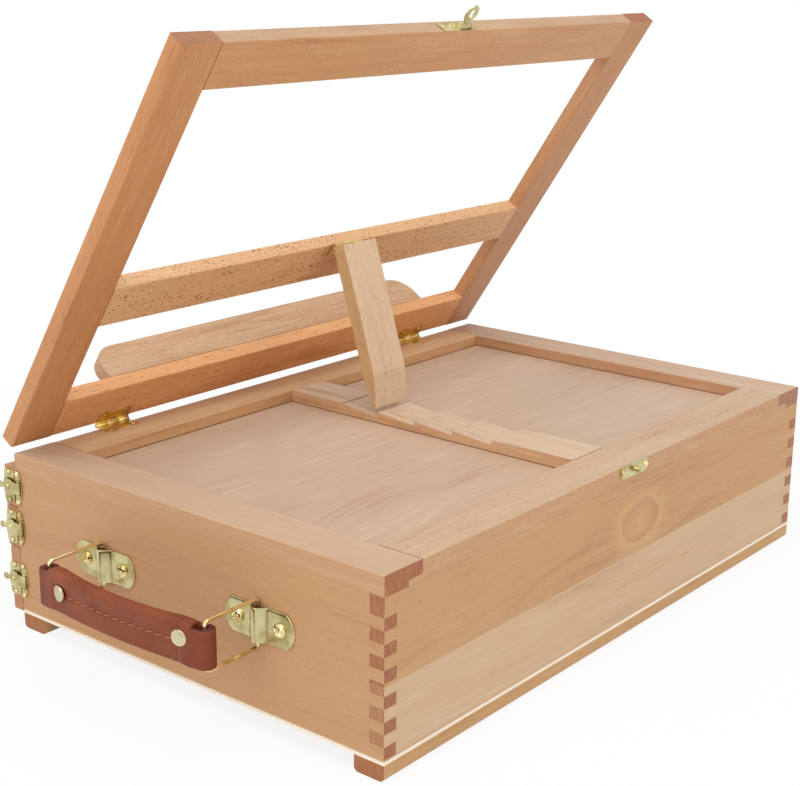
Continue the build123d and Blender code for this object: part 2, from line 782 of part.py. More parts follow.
def drawer_catch(place):
    """The plate on the drawer front's end, with the nub under the flap and its two screws."""
    nub_top = 2 * latch_barrel_r - latch_flap_t - latch_nub_gap
    with BuildPart() as plate:
        with BuildSketch(place):
            with Locations(((catch_inner + catch_outer) / 2, 0)):
                RectangleRounded(catch_outer - catch_inner, catch_height, catch_corner_r)
        extrude(amount=latch_plate_t)
        with BuildSketch(shifted(place, catch_screw_reach, 0, latch_plate_t)):
            Circle(latch_nub_r)
        extrude(amount=nub_top - latch_plate_t)
    screw_planes = [shifted(place, catch_screw_reach, side * latch_screw_spacing / 2, 0)
                    for side in (-1, 1)]
    screws = dome_heads(screw_planes, latch_screw_r, latch_screw_h, latch_plate_t)
    return Compound([plate.part.solid()] + [screw.solid() for screw in screws])


latch_places = [latch_place(low, high) for low, high in front_levels]
save(Compound([latch_base(place) for place in latch_places]), "latch_bases")
for number, place in enumerate(latch_places):
    save(latch_flap(place), f"latch_{number + 1}_flap")
    save(drawer_catch(place), f"drawer_{number + 1}_catch")

case_screws = dome_heads(keeper_screw_planes, keeper_screw_r, keeper_screw_h, keeper_t)
for place in case_hinge_places:
    case_screws += dome_heads(leaf_screw_planes(place, case_leaf_reach, main_barrel_r),
                              small_screw_r, small_screw_h, leaf_t)
for place in latch_places:
    base_screw_planes = [shifted(place, -latch_screw_r - knuckle_gap, side * latch_screw_spacing / 2, 0)
                         for side in (-1, 1)]
    case_screws += dome_heads(base_screw_planes, latch_screw_r, latch_screw_h, latch_plate_t)
save(Compound(case_screws), "case_screws")


# Handle: two brackets, two wire bails and a bowed leather grip
handle_z = case_top - handle_drop
bracket_ys = {"front": handle_y + handle_spacing / 2, "back": handle_y - handle_spacing / 2}


def bracket(place):
    """A bracket plate with the raised channel that the bail's wire turns in."""
    with BuildPart() as plate:
        with BuildSketch(place):
            with BuildLine():
                end = bracket_length / 2
                corner = end - bracket_end_bulge
                Line((-corner, bracket_height / 2), (corner, bracket_height / 2))
                ThreePointArc((corner, bracket_height / 2), (end, 0), (corner, -bracket_height / 2))
                Line((corner, -bracket_height / 2), (-corner, -bracket_height / 2))
                ThreePointArc((-corner, -bracket_height / 2), (-end, 0), (-corner, bracket_height / 2))
            make_face()
        extrude(amount=bracket_t)
        foot = Plane(origin=place.from_local_coords(Vector(0, -bracket_height / 2, 0)),
                     x_dir=place.x_dir, z_dir=place.y_dir)
        with BuildSketch(foot):
            with BuildLine():
                Polyline(
                    (-channel_width / 2, 0),
                    (channel_width / 2, 0),
                    (channel_top_width / 2, -channel_height),
                    (-channel_top_width / 2, -channel_height),
                    close=True,
                )
            make_face()
        extrude(amount=bracket_height)
        with BuildSketch(foot):
            with Locations((0, -wire_axis_out)):
                Circle(wire_r + wire_gap)
        extrude(amount=bracket_height, mode=Mode.SUBTRACT)
    return plate.part


def bail(y):
    """A wire bail: one loop of round wire that stands out of its bracket, with mitred bends."""
    middle_out = (wire_axis_out + bail_reach) / 2
    half_out = (bail_reach - wire_axis_out) / 2 - bail_corner_r
    half_up = bail_height / 2 - bail_corner_r
    points = [Vector(-half_length - middle_out, y, handle_z - half_up - bail_corner_r)]
    for quarter, (side_out, side_up) in enumerate(((1, -1), (1, 1), (-1, 1), (-1, -1))):
        for step in range(bail_corner_steps + 1):
            turn = math.radians(90 * (quarter - 1 + step / bail_corner_steps))
            out = middle_out + side_out * half_out + bail_corner_r * math.cos(turn)
            up = side_up * half_up + bail_corner_r * math.sin(turn)
            points.append(Vector(-half_length - out, y, handle_z + up))
    with BuildPart() as wire:
        with BuildLine() as path:
            Polyline(*points, close=True)
        with BuildSketch(Plane(origin=points[0], z_dir=points[1] - points[0])):
            RegularPolygon(wire_r, wire_sides)
        sweep(path=path.wires()[0], transition=Transition.RIGHT)
    return wire.part


bracket_places = [Plane(origin=(-half_length, y, handle_z), x_dir=(0, 1, 0), z_dir=(-1, 0, 0))
                  for y in bracket_ys.values()]
save(Compound([bracket(place) for place in bracket_places]), "handle_brackets")
bracket_screw_planes = [shifted(place, side * bracket_screw_spacing / 2, 0, 0)
                        for place in bracket_places for side in (-1, 1)]
save(Compound(dome_heads(bracket_screw_planes, bracket_screw_r, bracket_screw_h, bracket_t)),
     "handle_bracket_screws")
save(bail(bracket_ys["front"]), "handle_bail_front")
save(bail(bracket_ys["back"]), "handle_bail_back")

grip_x = -half_length - bail_reach
grip_front = bracket_ys["front"]
grip_back = bracket_ys["back"]
grip_outer_x = grip_x - grip_end_r
grip_inner_x = grip_x + grip_end_r
bow_outer_x = grip_outer_x - grip_bow
bow_inner_x = bow_outer_x + grip_mid_t
with BuildPart() as handle_grip:
    with BuildSketch(Plane.XY.offset(handle_z - grip_height / 2)):
        with BuildLine():
            ThreePointArc((grip_outer_x, grip_back), (bow_outer_x, handle_y), (grip_outer_x, grip_front))
            ThreePointArc((grip_outer_x, grip_front), (grip_x, grip_front + grip_end_r),
                          (grip_inner_x, grip_front))
            ThreePointArc((grip_inner_x, grip_front), (bow_inner_x, handle_y), (grip_inner_x, grip_back))
            ThreePointArc((grip_inner_x, grip_back), (grip_x, grip_back - grip_end_r),
                          (grip_outer_x, grip_back))
        make_face()
        with Locations((grip_x, grip_front), (grip_x, grip_back)):
            Circle(wire_r + grip_bore_gap, mode=Mode.SUBTRACT)
    extrude(amount=grip_height)
    # The strap is narrower in the middle of its length, top and bottom
    narrow_end = handle_spacing / 2 - rivet_inset / 2
    with BuildSketch(Plane.YZ.offset(bow_outer_x - cut_over)):
        for side in (-1, 1):
            edge = handle_z + side * grip_height / 2
            with BuildLine():
                ThreePointArc(
                    (handle_y - narrow_end, edge),
                    (handle_y, edge - side * grip_waist / 2),
                    (handle_y + narrow_end, edge),
                )
                Line((handle_y - narrow_end, edge), (handle_y + narrow_end, edge))
            make_face()
    extrude(amount=grip_inner_x - bow_outer_x + 2 * cut_over, mode=Mode.SUBTRACT)
save(handle_grip.part, "handle_grip")

# The rivets' heads lie on the bowed outer face, square to it
half_span = handle_spacing / 2
bow_r = (half_span ** 2 + grip_bow ** 2) / (2 * grip_bow)
bow_centre_x = bow_outer_x + bow_r
rivet_angle = math.asin((half_span - rivet_inset) / bow_r)
rivet_places = []
for side in (-1, 1):
    normal = Vector(-math.cos(rivet_angle), side * math.sin(rivet_angle), 0)
    seat_point = Vector(bow_centre_x, handle_y, handle_z) + normal * bow_r
    rivet_places.append(Plane(origin=seat_point, x_dir=(0, 0, 1), z_dir=normal))
save(Compound(dome_heads(rivet_places, rivet_r, rivet_head_t, 0)), "grip_rivets")
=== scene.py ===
import json
import math
import random

import bmesh
import bpy
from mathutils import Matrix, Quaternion, Vector


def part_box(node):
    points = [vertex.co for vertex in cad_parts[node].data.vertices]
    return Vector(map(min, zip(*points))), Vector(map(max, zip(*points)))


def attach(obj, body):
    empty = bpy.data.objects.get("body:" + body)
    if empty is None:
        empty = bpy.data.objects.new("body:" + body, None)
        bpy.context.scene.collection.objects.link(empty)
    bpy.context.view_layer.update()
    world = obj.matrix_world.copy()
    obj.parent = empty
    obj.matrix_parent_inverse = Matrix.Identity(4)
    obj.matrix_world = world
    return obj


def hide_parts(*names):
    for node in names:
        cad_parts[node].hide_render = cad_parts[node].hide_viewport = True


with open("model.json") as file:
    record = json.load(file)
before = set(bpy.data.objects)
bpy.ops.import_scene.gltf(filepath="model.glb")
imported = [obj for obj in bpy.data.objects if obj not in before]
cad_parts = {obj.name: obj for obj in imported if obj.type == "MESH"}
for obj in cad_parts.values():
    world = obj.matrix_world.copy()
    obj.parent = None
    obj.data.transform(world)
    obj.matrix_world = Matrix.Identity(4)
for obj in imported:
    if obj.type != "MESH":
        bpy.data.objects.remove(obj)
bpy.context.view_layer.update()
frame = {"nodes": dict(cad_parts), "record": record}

# A table easel box in beech, seen from its handle end and back wall. Metres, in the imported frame:
# +X away from the handle, +Y towards the drawers, +Z up, with the floor at zero.
MM = 0.001
X_AXIS = Vector((1, 0, 0))
Y_AXIS = Vector((0, 1, 0))
Z_AXIS = Vector((0, 0, 1))

# Camera, as fitted to the photograph
CAMERA_PLACE = Vector((-0.750768, -0.587732, 0.400833))
CAMERA_FORWARD = Vector((0.746916, 0.603766, -0.278538))
CAMERA_ROLL_DEG = 0.62
CAMERA_LENS_MM = 68.93
CAMERA_SHIFT = (-0.0190, 0.0088)

# Directions of the open frame and the prop
FRAME_ANGLE = math.radians(56.5)
PROP_LEAN = math.radians(17.5)
UP_FRAME = Vector((0, -math.cos(FRAME_ANGLE), math.sin(FRAME_ANGLE)))
DOWN_PROP = Vector((0, -math.sin(PROP_LEAN), -math.cos(PROP_LEAN)))

# Handle
HANDLE_Z = 63.2 * MM
HANDLE_Y = 2.4 * MM
HALF_SPAN = 62.0 * MM
END_FACE_X = -225.0 * MM
WIRE_R = 1.15 * MM
WIRE_OUT = 1.7 * MM
BAIL_REACH = 39.5 * MM
BAIL_HEIGHT = 27.5 * MM
BAIL_CORNER_R = 2.5 * MM
GRIP_X = END_FACE_X - BAIL_REACH
GRIP_HEIGHT = 22.4 * MM
GRIP_END_R = 5.8 * MM
GRIP_BOW = 5.5 * MM
GRIP_MID_T = 8.5 * MM
GRIP_SWELL = 2.2 * MM
GRIP_WAIST = 0.8 * MM
SEAM_RISE = 1.7 * MM
LEATHER_T = 3.0 * MM


# Colours and node graphs
def linear(red, green, blue):
    """A colour written as 0-255 screen values, as linear RGBA."""
    def channel(value):
        share = value / 255
        return share / 12.92 if share <= 0.04045 else ((share + 0.055) / 1.055) ** 2.4
    return (channel(red), channel(green), channel(blue), 1.0)


class Graph:
    """A short way to write a material's nodes."""

    def __init__(self, name):
        self.material = bpy.data.materials.new(name)
        self.material.use_nodes = True
        self.tree = self.material.node_tree
        self.tree.nodes.clear()
        self.out = self.tree.nodes.new("ShaderNodeOutputMaterial")

    def node(self, kind, inputs=None, **settings):
        made = self.tree.nodes.new(kind)
        for key, value in settings.items():
            setattr(made, key, value)
        for key, value in (inputs or {}).items():
            self.feed(made.inputs[key], value)
        return made

    def feed(self, socket, value):
        if isinstance(value, bpy.types.NodeSocket):
            self.tree.links.new(value, socket)
        else:
            socket.default_value = value

    def math(self, operation, first, second=0.0, third=0.0, clamp=False):
        made = self.node("ShaderNodeMath", {0: first, 1: second, 2: third}, operation=operation,
                         use_clamp=clamp)
        return made.outputs[0]

    def vector(self, operation, first, second=(0, 0, 0)):
        made = self.node("ShaderNodeVectorMath", {0: first, 1: second}, operation=operation)
        return made.outputs["Value" if operation == "DOT_PRODUCT" else "Vector"]

    def noise(self, place, scale, detail=2.0, roughness=0.5, distortion=0.0):
        made = self.node("ShaderNodeTexNoise", {"Vector": place, "Scale": scale, "Detail": detail,
                                                "Roughness": roughness, "Distortion": distortion})
        return made.outputs[0]

    def voronoi(self, place, scale, randomness=1.0):
        made = self.node("ShaderNodeTexVoronoi", {"Vector": place, "Scale": scale,
                                                  "Randomness": randomness})
        return made.outputs["Distance"]

    def ramp(self, factor, stops, smooth=True):
        made = self.node("ShaderNodeValToRGB", {0: factor})
        made.color_ramp.interpolation = "EASE" if smooth else "LINEAR"
        elements = made.color_ramp.elements
        while len(elements) < len(stops):
            elements.new(0.5)
        for element, (position, colour) in zip(elements, stops):
            element.position = position
            element.color = colour if hasattr(colour, "__len__") else (colour, colour, colour, 1)
        return made.outputs[0]

    def mix(self, factor, first, second, blend="MIX"):
        made = self.node("ShaderNodeMix", data_type="RGBA", blend_type=blend)
        self.feed(made.inputs[0], factor)
        self.feed(made.inputs[6], first)
        self.feed(made.inputs[7], second)
        return made.outputs[2]

    def bump(self, height, strength, distance, normal=None):
        made = self.node("ShaderNodeBump", {"Height": height, "Strength": strength,
                                            "Distance": distance})
        if normal is not None:
            self.feed(made.inputs["Normal"], normal)
        return made.outputs[0]

    def surface(self, **inputs):
        shader = self.node("ShaderNodeBsdfPrincipled")
        for key, value in inputs.items():
            self.feed(shader.inputs[key.replace("_", " ")], value)
        self.tree.links.new(shader.outputs[0], self.out.inputs[0])
        return self.material


def object_place(graph, seed):
    """Rest coordinates in metres, moved by a seed so that no two boards share a figure."""
    place = graph.node("ShaderNodeTexCoord").outputs["Object"]
    shift = random.Random(seed)
    return graph.vector("ADD", place, [shift.uniform(-3, 3) for _ in range(3)])


def object_axis(graph, axis):
    """One rest coordinate in metres: 0 for x, 1 for y, 2 for z."""
    place = graph.node("ShaderNodeTexCoord").outputs["Object"]
    return graph.node("ShaderNodeSeparateXYZ", {0: place}).outputs[axis]


# Wood
BEECH_LIGHT = linear(222, 184, 148)
BEECH_MIDDLE = linear(208, 164, 124)
BEECH_DARK = linear(188, 139, 99)
END_LIGHT = linear(184, 124, 84)
END_DARK = linear(158, 96, 62)
FLECK_COLOUR = linear(132, 84, 52)
MEAN_TONE = 0.51
SHORT_DASH = 260
LONG_DASH = 120


def beech(name, grain, seed, tint, fleck, dash_rate, figure, contrast, extras):
    """Sanded beech: soft clouds and fine streaks along the grain, short dark flecks, and red-brown end
    grain on the faces that the grain runs into. Extras hold what sets one board apart, and the painted
    shade and sheen of some of its faces."""
    g = Graph(name)
    turn = grain.rotation_difference(X_AXIS).to_euler()
    board = g.node("ShaderNodeMapping", {"Vector": object_place(g, seed), "Rotation": turn}).outputs[0]
    waver = g.noise(g.vector("MULTIPLY", board, (3.0, 12, 12)), 1.0, 2.0)
    bent = g.vector("ADD", board, g.node("ShaderNodeCombineXYZ", {
        "Y": g.math("MULTIPLY", waver, 0.034), "Z": g.math("MULTIPLY", waver, 0.026)}).outputs[0])
    streaks = g.noise(g.vector("MULTIPLY", bent, (20, 420, 420)), 1.0, 4.0, 0.62)
    normal = g.node("ShaderNodeTexCoord").outputs["Normal"]

    face = beech_figure(g, board, bent, streaks, figure, contrast)
    fleck_mask = beech_flecks(g, board, bent, fleck, dash_rate)
    face = g.mix(fleck_mask, face, FLECK_COLOUR)
    if "knot" in extras:
        face = knot_figure(g, face, extras["knot"])
    face = g.mix(1.0, face, (*tint, 1), "MULTIPLY")
    # Painted shade and sheen: faces that look along one axis get a tint of their own, darker and warmer
    # for shade, paler and cooler for sheen
    if "side" in extras:
        painted_light_axis, painted_light_tint = extras["side"]
        toward_painted_light_axis = g.math("ABSOLUTE", g.vector("DOT_PRODUCT", normal, painted_light_axis))
        face = g.mix(g.ramp(toward_painted_light_axis, [(0.80, 0.0), (0.92, 1.0)]), face,
                     g.mix(1.0, face, (*painted_light_tint, 1), "MULTIPLY"))
    # Painted shade: a dark line where the rail's foot meets the sunk panel
    if "foot" in extras:
        face = foot_shade_line(g, face, normal, *extras["foot"])
    into_grain = g.math("ABSOLUTE", g.vector("DOT_PRODUCT", normal, grain))
    end_mask = g.ramp(into_grain, [(0.72, 0.0), (0.80, 1.0)])
    end_face = g.mix(1.0, end_grain(g, board), (*extras.get("end_tint", tint), 1), "MULTIPLY")
    colour = g.mix(g.math("MULTIPLY", end_mask, extras.get("end_share", 1.0)), face, end_face)

    roughness = g.math("MULTIPLY_ADD", streaks, 0.22, 0.44)
    grain_height = g.math("SUBTRACT", streaks, g.math("MULTIPLY", fleck_mask, 0.8))
    soft_edge = g.node("ShaderNodeBevel", {"Radius": 0.5 * MM}, samples=4).outputs[0]
    bumped = g.bump(grain_height, 0.22, 0.12 * MM, soft_edge)
    return g.surface(Base_Color=colour, Roughness=roughness, Normal=bumped)


def beech_figure(g, board, bent, streaks, figure, contrast):
    """Bands that waver, fibres, slow clouds and the contour lines that flat-sawn boards show."""
    bands = g.noise(g.vector("MULTIPLY", bent, (4.0, 70, 70)), 1.0, 3.0, 0.6)
    fibres = g.noise(g.vector("MULTIPLY", bent, (90, 1500, 1500)), 1.0, 2.0, 0.6)
    cloud = g.noise(g.vector("MULTIPLY", board, (5, 11, 11)), 1.0, 3.0)
    tone = g.math("MULTIPLY", bands, 0.30)
    for part, weight in ((streaks, 0.36), (fibres, 0.16), (cloud, 0.22)):
        tone = g.math("ADD", tone, g.math("MULTIPLY", part, weight))
    contour = g.noise(g.vector("MULTIPLY", board, (2.2, 19, 19)), 1.0, 1.5)
    rings = g.math("FRACT", g.math("MULTIPLY", contour, 9.0))
    arch = g.ramp(rings, [(0.0, 0.0), (0.55, 0.35), (0.92, 1.0), (1.0, 0.0)])
    tone = g.math("SUBTRACT", tone, g.math("MULTIPLY", arch, 0.07 * figure))
    tone = g.math("MULTIPLY_ADD", g.math("SUBTRACT", tone, MEAN_TONE), contrast, MEAN_TONE)
    return g.ramp(tone, [(0.36, BEECH_DARK), (MEAN_TONE, BEECH_MIDDLE), (0.68, BEECH_LIGHT)])


def beech_flecks(g, board, bent, fleck, dash_rate):
    """Short dashes along the grain, thicker in some places."""
    across_rate = 1700 - 1000 * fleck
    dashes = g.voronoi(g.vector("MULTIPLY", bent, (dash_rate, across_rate, across_rate)), 1.0)
    density = g.noise(g.vector("MULTIPLY", board, (40, 180, 180)), 1.0, 1.0)
    limit = g.math("MULTIPLY_ADD", density, 0.44, 0.06)
    mask = g.math("MULTIPLY", g.math("SUBTRACT", limit, dashes), 9.0, clamp=True)
    return g.math("MULTIPLY", mask, fleck)


def foot_shade_line(g, face, normal, direction, level):
    """Painted shade: a thin dark line at a level, on the faces that look in one direction, where a rail's
    foot meets the sunk panel.
    """
    distance_mm = g.math("ABSOLUTE", g.math("SUBTRACT", object_axis(g, 2), level))
    distance_mm = g.math("MULTIPLY", distance_mm, 1 / MM)
    faces_it = g.ramp(g.vector("DOT_PRODUCT", normal, direction), [(0.80, 0.0), (0.92, 1.0)])
    seam = g.math("MULTIPLY", g.ramp(distance_mm, [(0.35, 0.85), (0.95, 0.0)]), faces_it)
    return g.mix(seam, face, linear(104, 60, 36))


def end_grain(g, board):
    """Fine slanting lines and pores."""
    slant = g.node("ShaderNodeMapping", {"Vector": board, "Rotation": (0.35, 0, 0)}).outputs[0]
    lines = g.noise(g.vector("MULTIPLY", slant, (0, 900, 90)), 1.0, 2.0, 0.6)
    pores = g.noise(g.vector("MULTIPLY", board, (0, 2600, 2600)), 1.0, 2.0, 0.6)
    tone = g.math("ADD", g.math("MULTIPLY", lines, 0.75), g.math("MULTIPLY", pores, 0.25))
    return g.ramp(tone, [(0.36, END_DARK), (0.62, END_LIGHT)])


def knot_figure(g, face, centre):
    """A pale horseshoe swirl round a pale eye, darker on its right, on the back wall's upper board."""
    place = g.node("ShaderNodeTexCoord").outputs["Object"]
    local = g.vector("MULTIPLY", g.vector("SUBTRACT", place, centre), (1.0, 0.0, 1.6))
    wobble = g.noise(g.vector("MULTIPLY", place, (70, 70, 70)), 1.0, 2.0)
    reach = g.node("ShaderNodeVectorMath", {0: local}, operation="LENGTH").outputs["Value"]
    reach = g.math("ADD", reach, g.math("MULTIPLY", g.math("SUBTRACT", wobble, 0.5), 0.014))
    pale = g.ramp(reach, [(0.0, 0.45), (0.005, 0.35), (0.010, 0.10), (0.020, 0.10), (0.0235, 0.55),
                          (0.0275, 0.32), (0.034, 0.0)])
    ringed = g.mix(pale, face, linear(222, 184, 138))
    to_right = g.ramp(g.node("ShaderNodeSeparateXYZ", {0: local}).outputs[0], [(0.0, 0.25), (0.016, 1.0)])
    dark = g.ramp(reach, [(0.0, 0.0), (0.014, 0.0), (0.0185, 0.55), (0.0215, 0.0)])
    return g.mix(g.math("MULTIPLY", dark, to_right), ringed, linear(172, 122, 82))


def plywood(name, seed, sheet_low, sheet_high):
    """Rotary-cut veneer: broad wavering figure, grey-tan, with fine broken streaks along X. Its edges are
    cream with a darker middle ply."""
    g = Graph(name)
    board = object_place(g, seed)
    warp = g.noise(g.vector("MULTIPLY", board, (5, 14, 14)), 1.0, 2.0)
    drift = g.vector("ADD", board, g.node("ShaderNodeCombineXYZ", {
        "Y": g.math("MULTIPLY", warp, 0.05)}).outputs[0])
    figure = g.math("FRACT", g.math("MULTIPLY", g.noise(g.vector("MULTIPLY", board, (2.6, 11, 11)),
                                                        1.0, 2.0, 0.5, 0.4), 7.0))
    waves = g.ramp(figure, [(0.0, 0.1), (0.6, 0.4), (0.9, 1.0), (1.0, 0.1)])
    streaks = g.noise(g.vector("MULTIPLY", drift, (16, 230, 230)), 1.0, 3.0, 0.6)
    fine = g.noise(g.vector("MULTIPLY", drift, (60, 900, 900)), 1.0, 2.0, 0.6)
    tone = g.math("ADD", g.math("MULTIPLY", streaks, 0.44), g.math("MULTIPLY", fine, 0.24))
    tone = g.math("ADD", tone, g.math("MULTIPLY", warp, 0.32))
    tone = g.math("SUBTRACT", tone, g.math("MULTIPLY", waves, 0.03))
    face = g.ramp(tone, [(0.30, linear(180, 147, 120)), (0.48, linear(196, 167, 142)),
                         (0.70, linear(214, 188, 164))])
    normal = g.node("ShaderNodeTexCoord").outputs["Normal"]
    level = g.node("ShaderNodeSeparateXYZ", {0: normal}).outputs[2]
    edge = g.ramp(g.math("ABSOLUTE", level), [(0.4, 1.0), (0.6, 0.0)])
    share = g.math("DIVIDE", g.math("SUBTRACT", object_axis(g, 2), sheet_low), sheet_high - sheet_low)
    edge_colour = g.ramp(share, [(0.0, linear(240, 228, 206)), (0.30, linear(250, 242, 226)),
                                 (0.36, linear(232, 212, 180)), (0.66, linear(250, 242, 226)),
                                 (0.72, linear(150, 112, 80)), (0.80, linear(206, 164, 124))],
                         smooth=False)
    ragged = g.noise(g.vector("MULTIPLY", board, (300, 300, 900)), 1.0, 3.0, 0.7)
    edge_colour = g.mix(g.ramp(ragged, [(0.60, 0.0), (0.78, 0.6)]), edge_colour, linear(200, 162, 124))
    colour = g.mix(edge, face, edge_colour)
    bumped = g.bump(streaks, 0.16, 0.1 * MM)
    roughness = g.math("MULTIPLY_ADD", streaks, 0.2, 0.48)
    return g.surface(Base_Color=colour, Roughness=roughness, Normal=bumped)


# Metal, leather, thread
def brass(name, colour, shade, rough, seed, brushed=0.5, metal=1.0):
    """Brass-plated steel: gold with a darker tone in slow random patches, a painted brown shade and dark
    reflection where a piece's attribute asks for it, and faint rolling marks."""
    g = Graph(name)
    place = object_place(g, seed)
    marks = g.noise(g.vector("MULTIPLY", place, (5200, 700, 700)), 1.0, 2.0)
    patches = g.noise(g.vector("MULTIPLY", place, (110, 110, 110)), 1.0, 3.0, 0.5)
    tone = g.mix(g.ramp(patches, [(0.34, 0.0), (0.62, 1.0)]), shade, colour)
    painted_shade_and_reflection = g.node("ShaderNodeAttribute", attribute_name="painted_shade_and_reflection").outputs["Fac"]
    # Painted shade and dark reflection: brown where the piece's attribute says so
    tone = g.mix(painted_shade_and_reflection, tone, linear(128, 92, 48))
    roughness = g.math("MULTIPLY_ADD", patches, 0.10, rough)
    bumped = g.bump(g.math("MULTIPLY_ADD", marks, brushed, patches), 0.15, 0.03 * MM)
    return g.surface(Base_Color=tone, Metallic=metal, Roughness=roughness, Normal=bumped)


def leather(name):
    """Reddish-brown leather with a fine pebbled grain and a satin face, darker towards its ends. The cut
    edges are painted darker still, and the hollows round the wires get a painted shade from the same
    attribute."""
    g = Graph(name)
    place = object_place(g, 71)
    cells = g.voronoi(g.vector("MULTIPLY", place, (1500, 1500, 1500)), 1.0)
    creases = g.noise(g.vector("MULTIPLY", place, (700, 260, 900)), 1.0, 4.0, 0.65)
    cloud = g.noise(g.vector("MULTIPLY", place, (45, 45, 45)), 1.0, 3.0)
    tone = g.math("ADD", g.math("MULTIPLY", creases, 0.40), g.math("MULTIPLY", cloud, 0.60))
    skin = g.ramp(tone, [(0.32, linear(109, 46, 20)), (0.50, linear(128, 60, 28)),
                         (0.70, linear(145, 75, 38))])
    from_middle = g.math("ABSOLUTE", g.math("SUBTRACT", object_axis(g, 1), HANDLE_Y))
    at_end = g.ramp(from_middle, [(0.050, 0.0), (0.062, 1.0)])
    skin = g.mix(at_end, skin, g.mix(1.0, skin, (0.84, 0.70, 0.60, 1), "MULTIPLY"))
    rim = g.node("ShaderNodeAttribute", attribute_name="rim").outputs["Fac"]
    skin = g.mix(g.ramp(rim, [(0.25, 0.0), (0.85, 0.8)]), skin, linear(70, 24, 22))
    roughness = g.math("MULTIPLY_ADD", creases, 0.25, 0.42)
    height = g.math("ADD", g.math("MULTIPLY", cells, 0.5), g.math("MULTIPLY", creases, 0.7))
    return g.surface(Base_Color=skin, Roughness=roughness, Specular_IOR_Level=0.38,
                     Normal=g.bump(height, 0.22, 0.1 * MM))


def thread_material():
    """Waxed reddish thread with its twist, whose bands run from the dark thread to a lighter tone that is
    a painted highlight.
    """
    g = Graph("waxed_thread")
    place = object_place(g, 12)
    twist = g.node("ShaderNodeTexWave", {"Vector": place, "Scale": 900.0, "Distortion": 1.0},
                   wave_type="BANDS", bands_direction="DIAGONAL").outputs[1]
    # Painted highlight: the lighter end of the ramp stands for light on the twisted plies
    tone = g.ramp(twist, [(0.1, linear(120, 54, 36)), (0.9, linear(214, 136, 100))])
    return g.surface(Base_Color=tone, Roughness=g.math("MULTIPLY_ADD", twist, 0.1, 0.45),
                     Normal=g.bump(twist, 0.5, 0.08 * MM))


# Mesh helpers
def add_piece(name, verts, faces, material, body, smooth=True):
    """A mesh piece that rides on a body and takes its finish from a slot."""
    mesh = bpy.data.meshes.new(name)
    mesh.from_pydata([tuple(v) for v in verts], [], faces)
    mesh.update()
    for polygon in mesh.polygons:
        polygon.use_smooth = smooth
    piece = bpy.data.objects.new(name, mesh)
    bpy.context.scene.collection.objects.link(piece)
    mesh.materials.append(material)
    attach(piece, body)
    return piece


def grid_faces(rows, columns, start=0, wrap_rows=False, wrap_columns=True):
    """Quads between rows of points, each row as long as the others."""
    faces = []
    for row in range(rows if wrap_rows else rows - 1):
        for column in range(columns if wrap_columns else columns - 1):
            a = start + row * columns + column
            b = start + row * columns + (column + 1) % columns
            c = start + ((row + 1) % rows) * columns + (column + 1) % columns
            d = start + ((row + 1) % rows) * columns + column
            faces.append((a, b, c, d))
    return faces


def smoothstep(low, high, value):
    share = min(max((value - low) / (high - low), 0.0), 1.0)
    return share * share * (3 - 2 * share)


def placed(points, origin, normal, turn=0.0):
    """Points of a shape whose own z is up, set on a surface point with that normal."""
    stand = normal.to_track_quat("Z", "Y") @ Quaternion(Z_AXIS, turn)
    return [origin + stand @ point for point in points]


def cross_head(radius, height, rings=12, sides=40):
    """A domed screw head with a cross recess: rings of points from the middle out, then its faces."""
    points = [Vector((0, 0, height * 0.6))]
    for ring in range(1, rings + 1):
        reach = ring / rings
        for step in range(sides):
            angle = 2 * math.pi * step / sides
            x, y = reach * math.cos(angle), reach * math.sin(angle)
            level = height * math.sqrt(1 - 0.96 * reach * reach)
            arm = max(smoothstep(0.19, 0.11, abs(y)) * smoothstep(0.66, 0.52, abs(x)),
                      smoothstep(0.19, 0.11, abs(x)) * smoothstep(0.66, 0.52, abs(y)))
            points.append(Vector((x * radius, y * radius, level - 0.40 * height * arm)))
    for step in range(sides):
        angle = 2 * math.pi * step / sides
        points.append(Vector((radius * math.cos(angle), radius * math.sin(angle), 0)))
    faces = [(0, 1 + step, 1 + (step + 1) % sides) for step in range(sides)]
    faces += grid_faces(rings + 1, sides, 1)
    return points, [tuple(reversed(face)) if len(face) == 4 else face for face in faces]


def turned(profile, sides=48):
    """A turned shape from (radius, height) pairs, from the outside in, closed by its last ring."""
    points = []
    for radius, height in profile:
        for step in range(sides):
            angle = 2 * math.pi * step / sides
            points.append(Vector((radius * math.cos(angle), radius * math.sin(angle), height)))
    faces = grid_faces(len(profile), sides)
    last = (len(profile) - 1) * sides
    faces.append(tuple(last + step for step in range(sides)))
    return points, faces


def tube(path, radius, sides=20):
    """A closed round tube along a closed path of points."""
    count = len(path)
    points = []
    side_dir = None
    for index in range(count):
        ahead = (path[(index + 1) % count] - path[index - 1]).normalized()
        if side_dir is None:
            side_dir = ahead.orthogonal().normalized()
        side_dir = (side_dir - ahead * side_dir.dot(ahead)).normalized()
        other = ahead.cross(side_dir)
        for step in range(sides):
            angle = 2 * math.pi * step / sides
            points.append(path[index] + radius * (math.cos(angle) * side_dir + math.sin(angle) * other))
    return points, grid_faces(count, sides, wrap_rows=True)


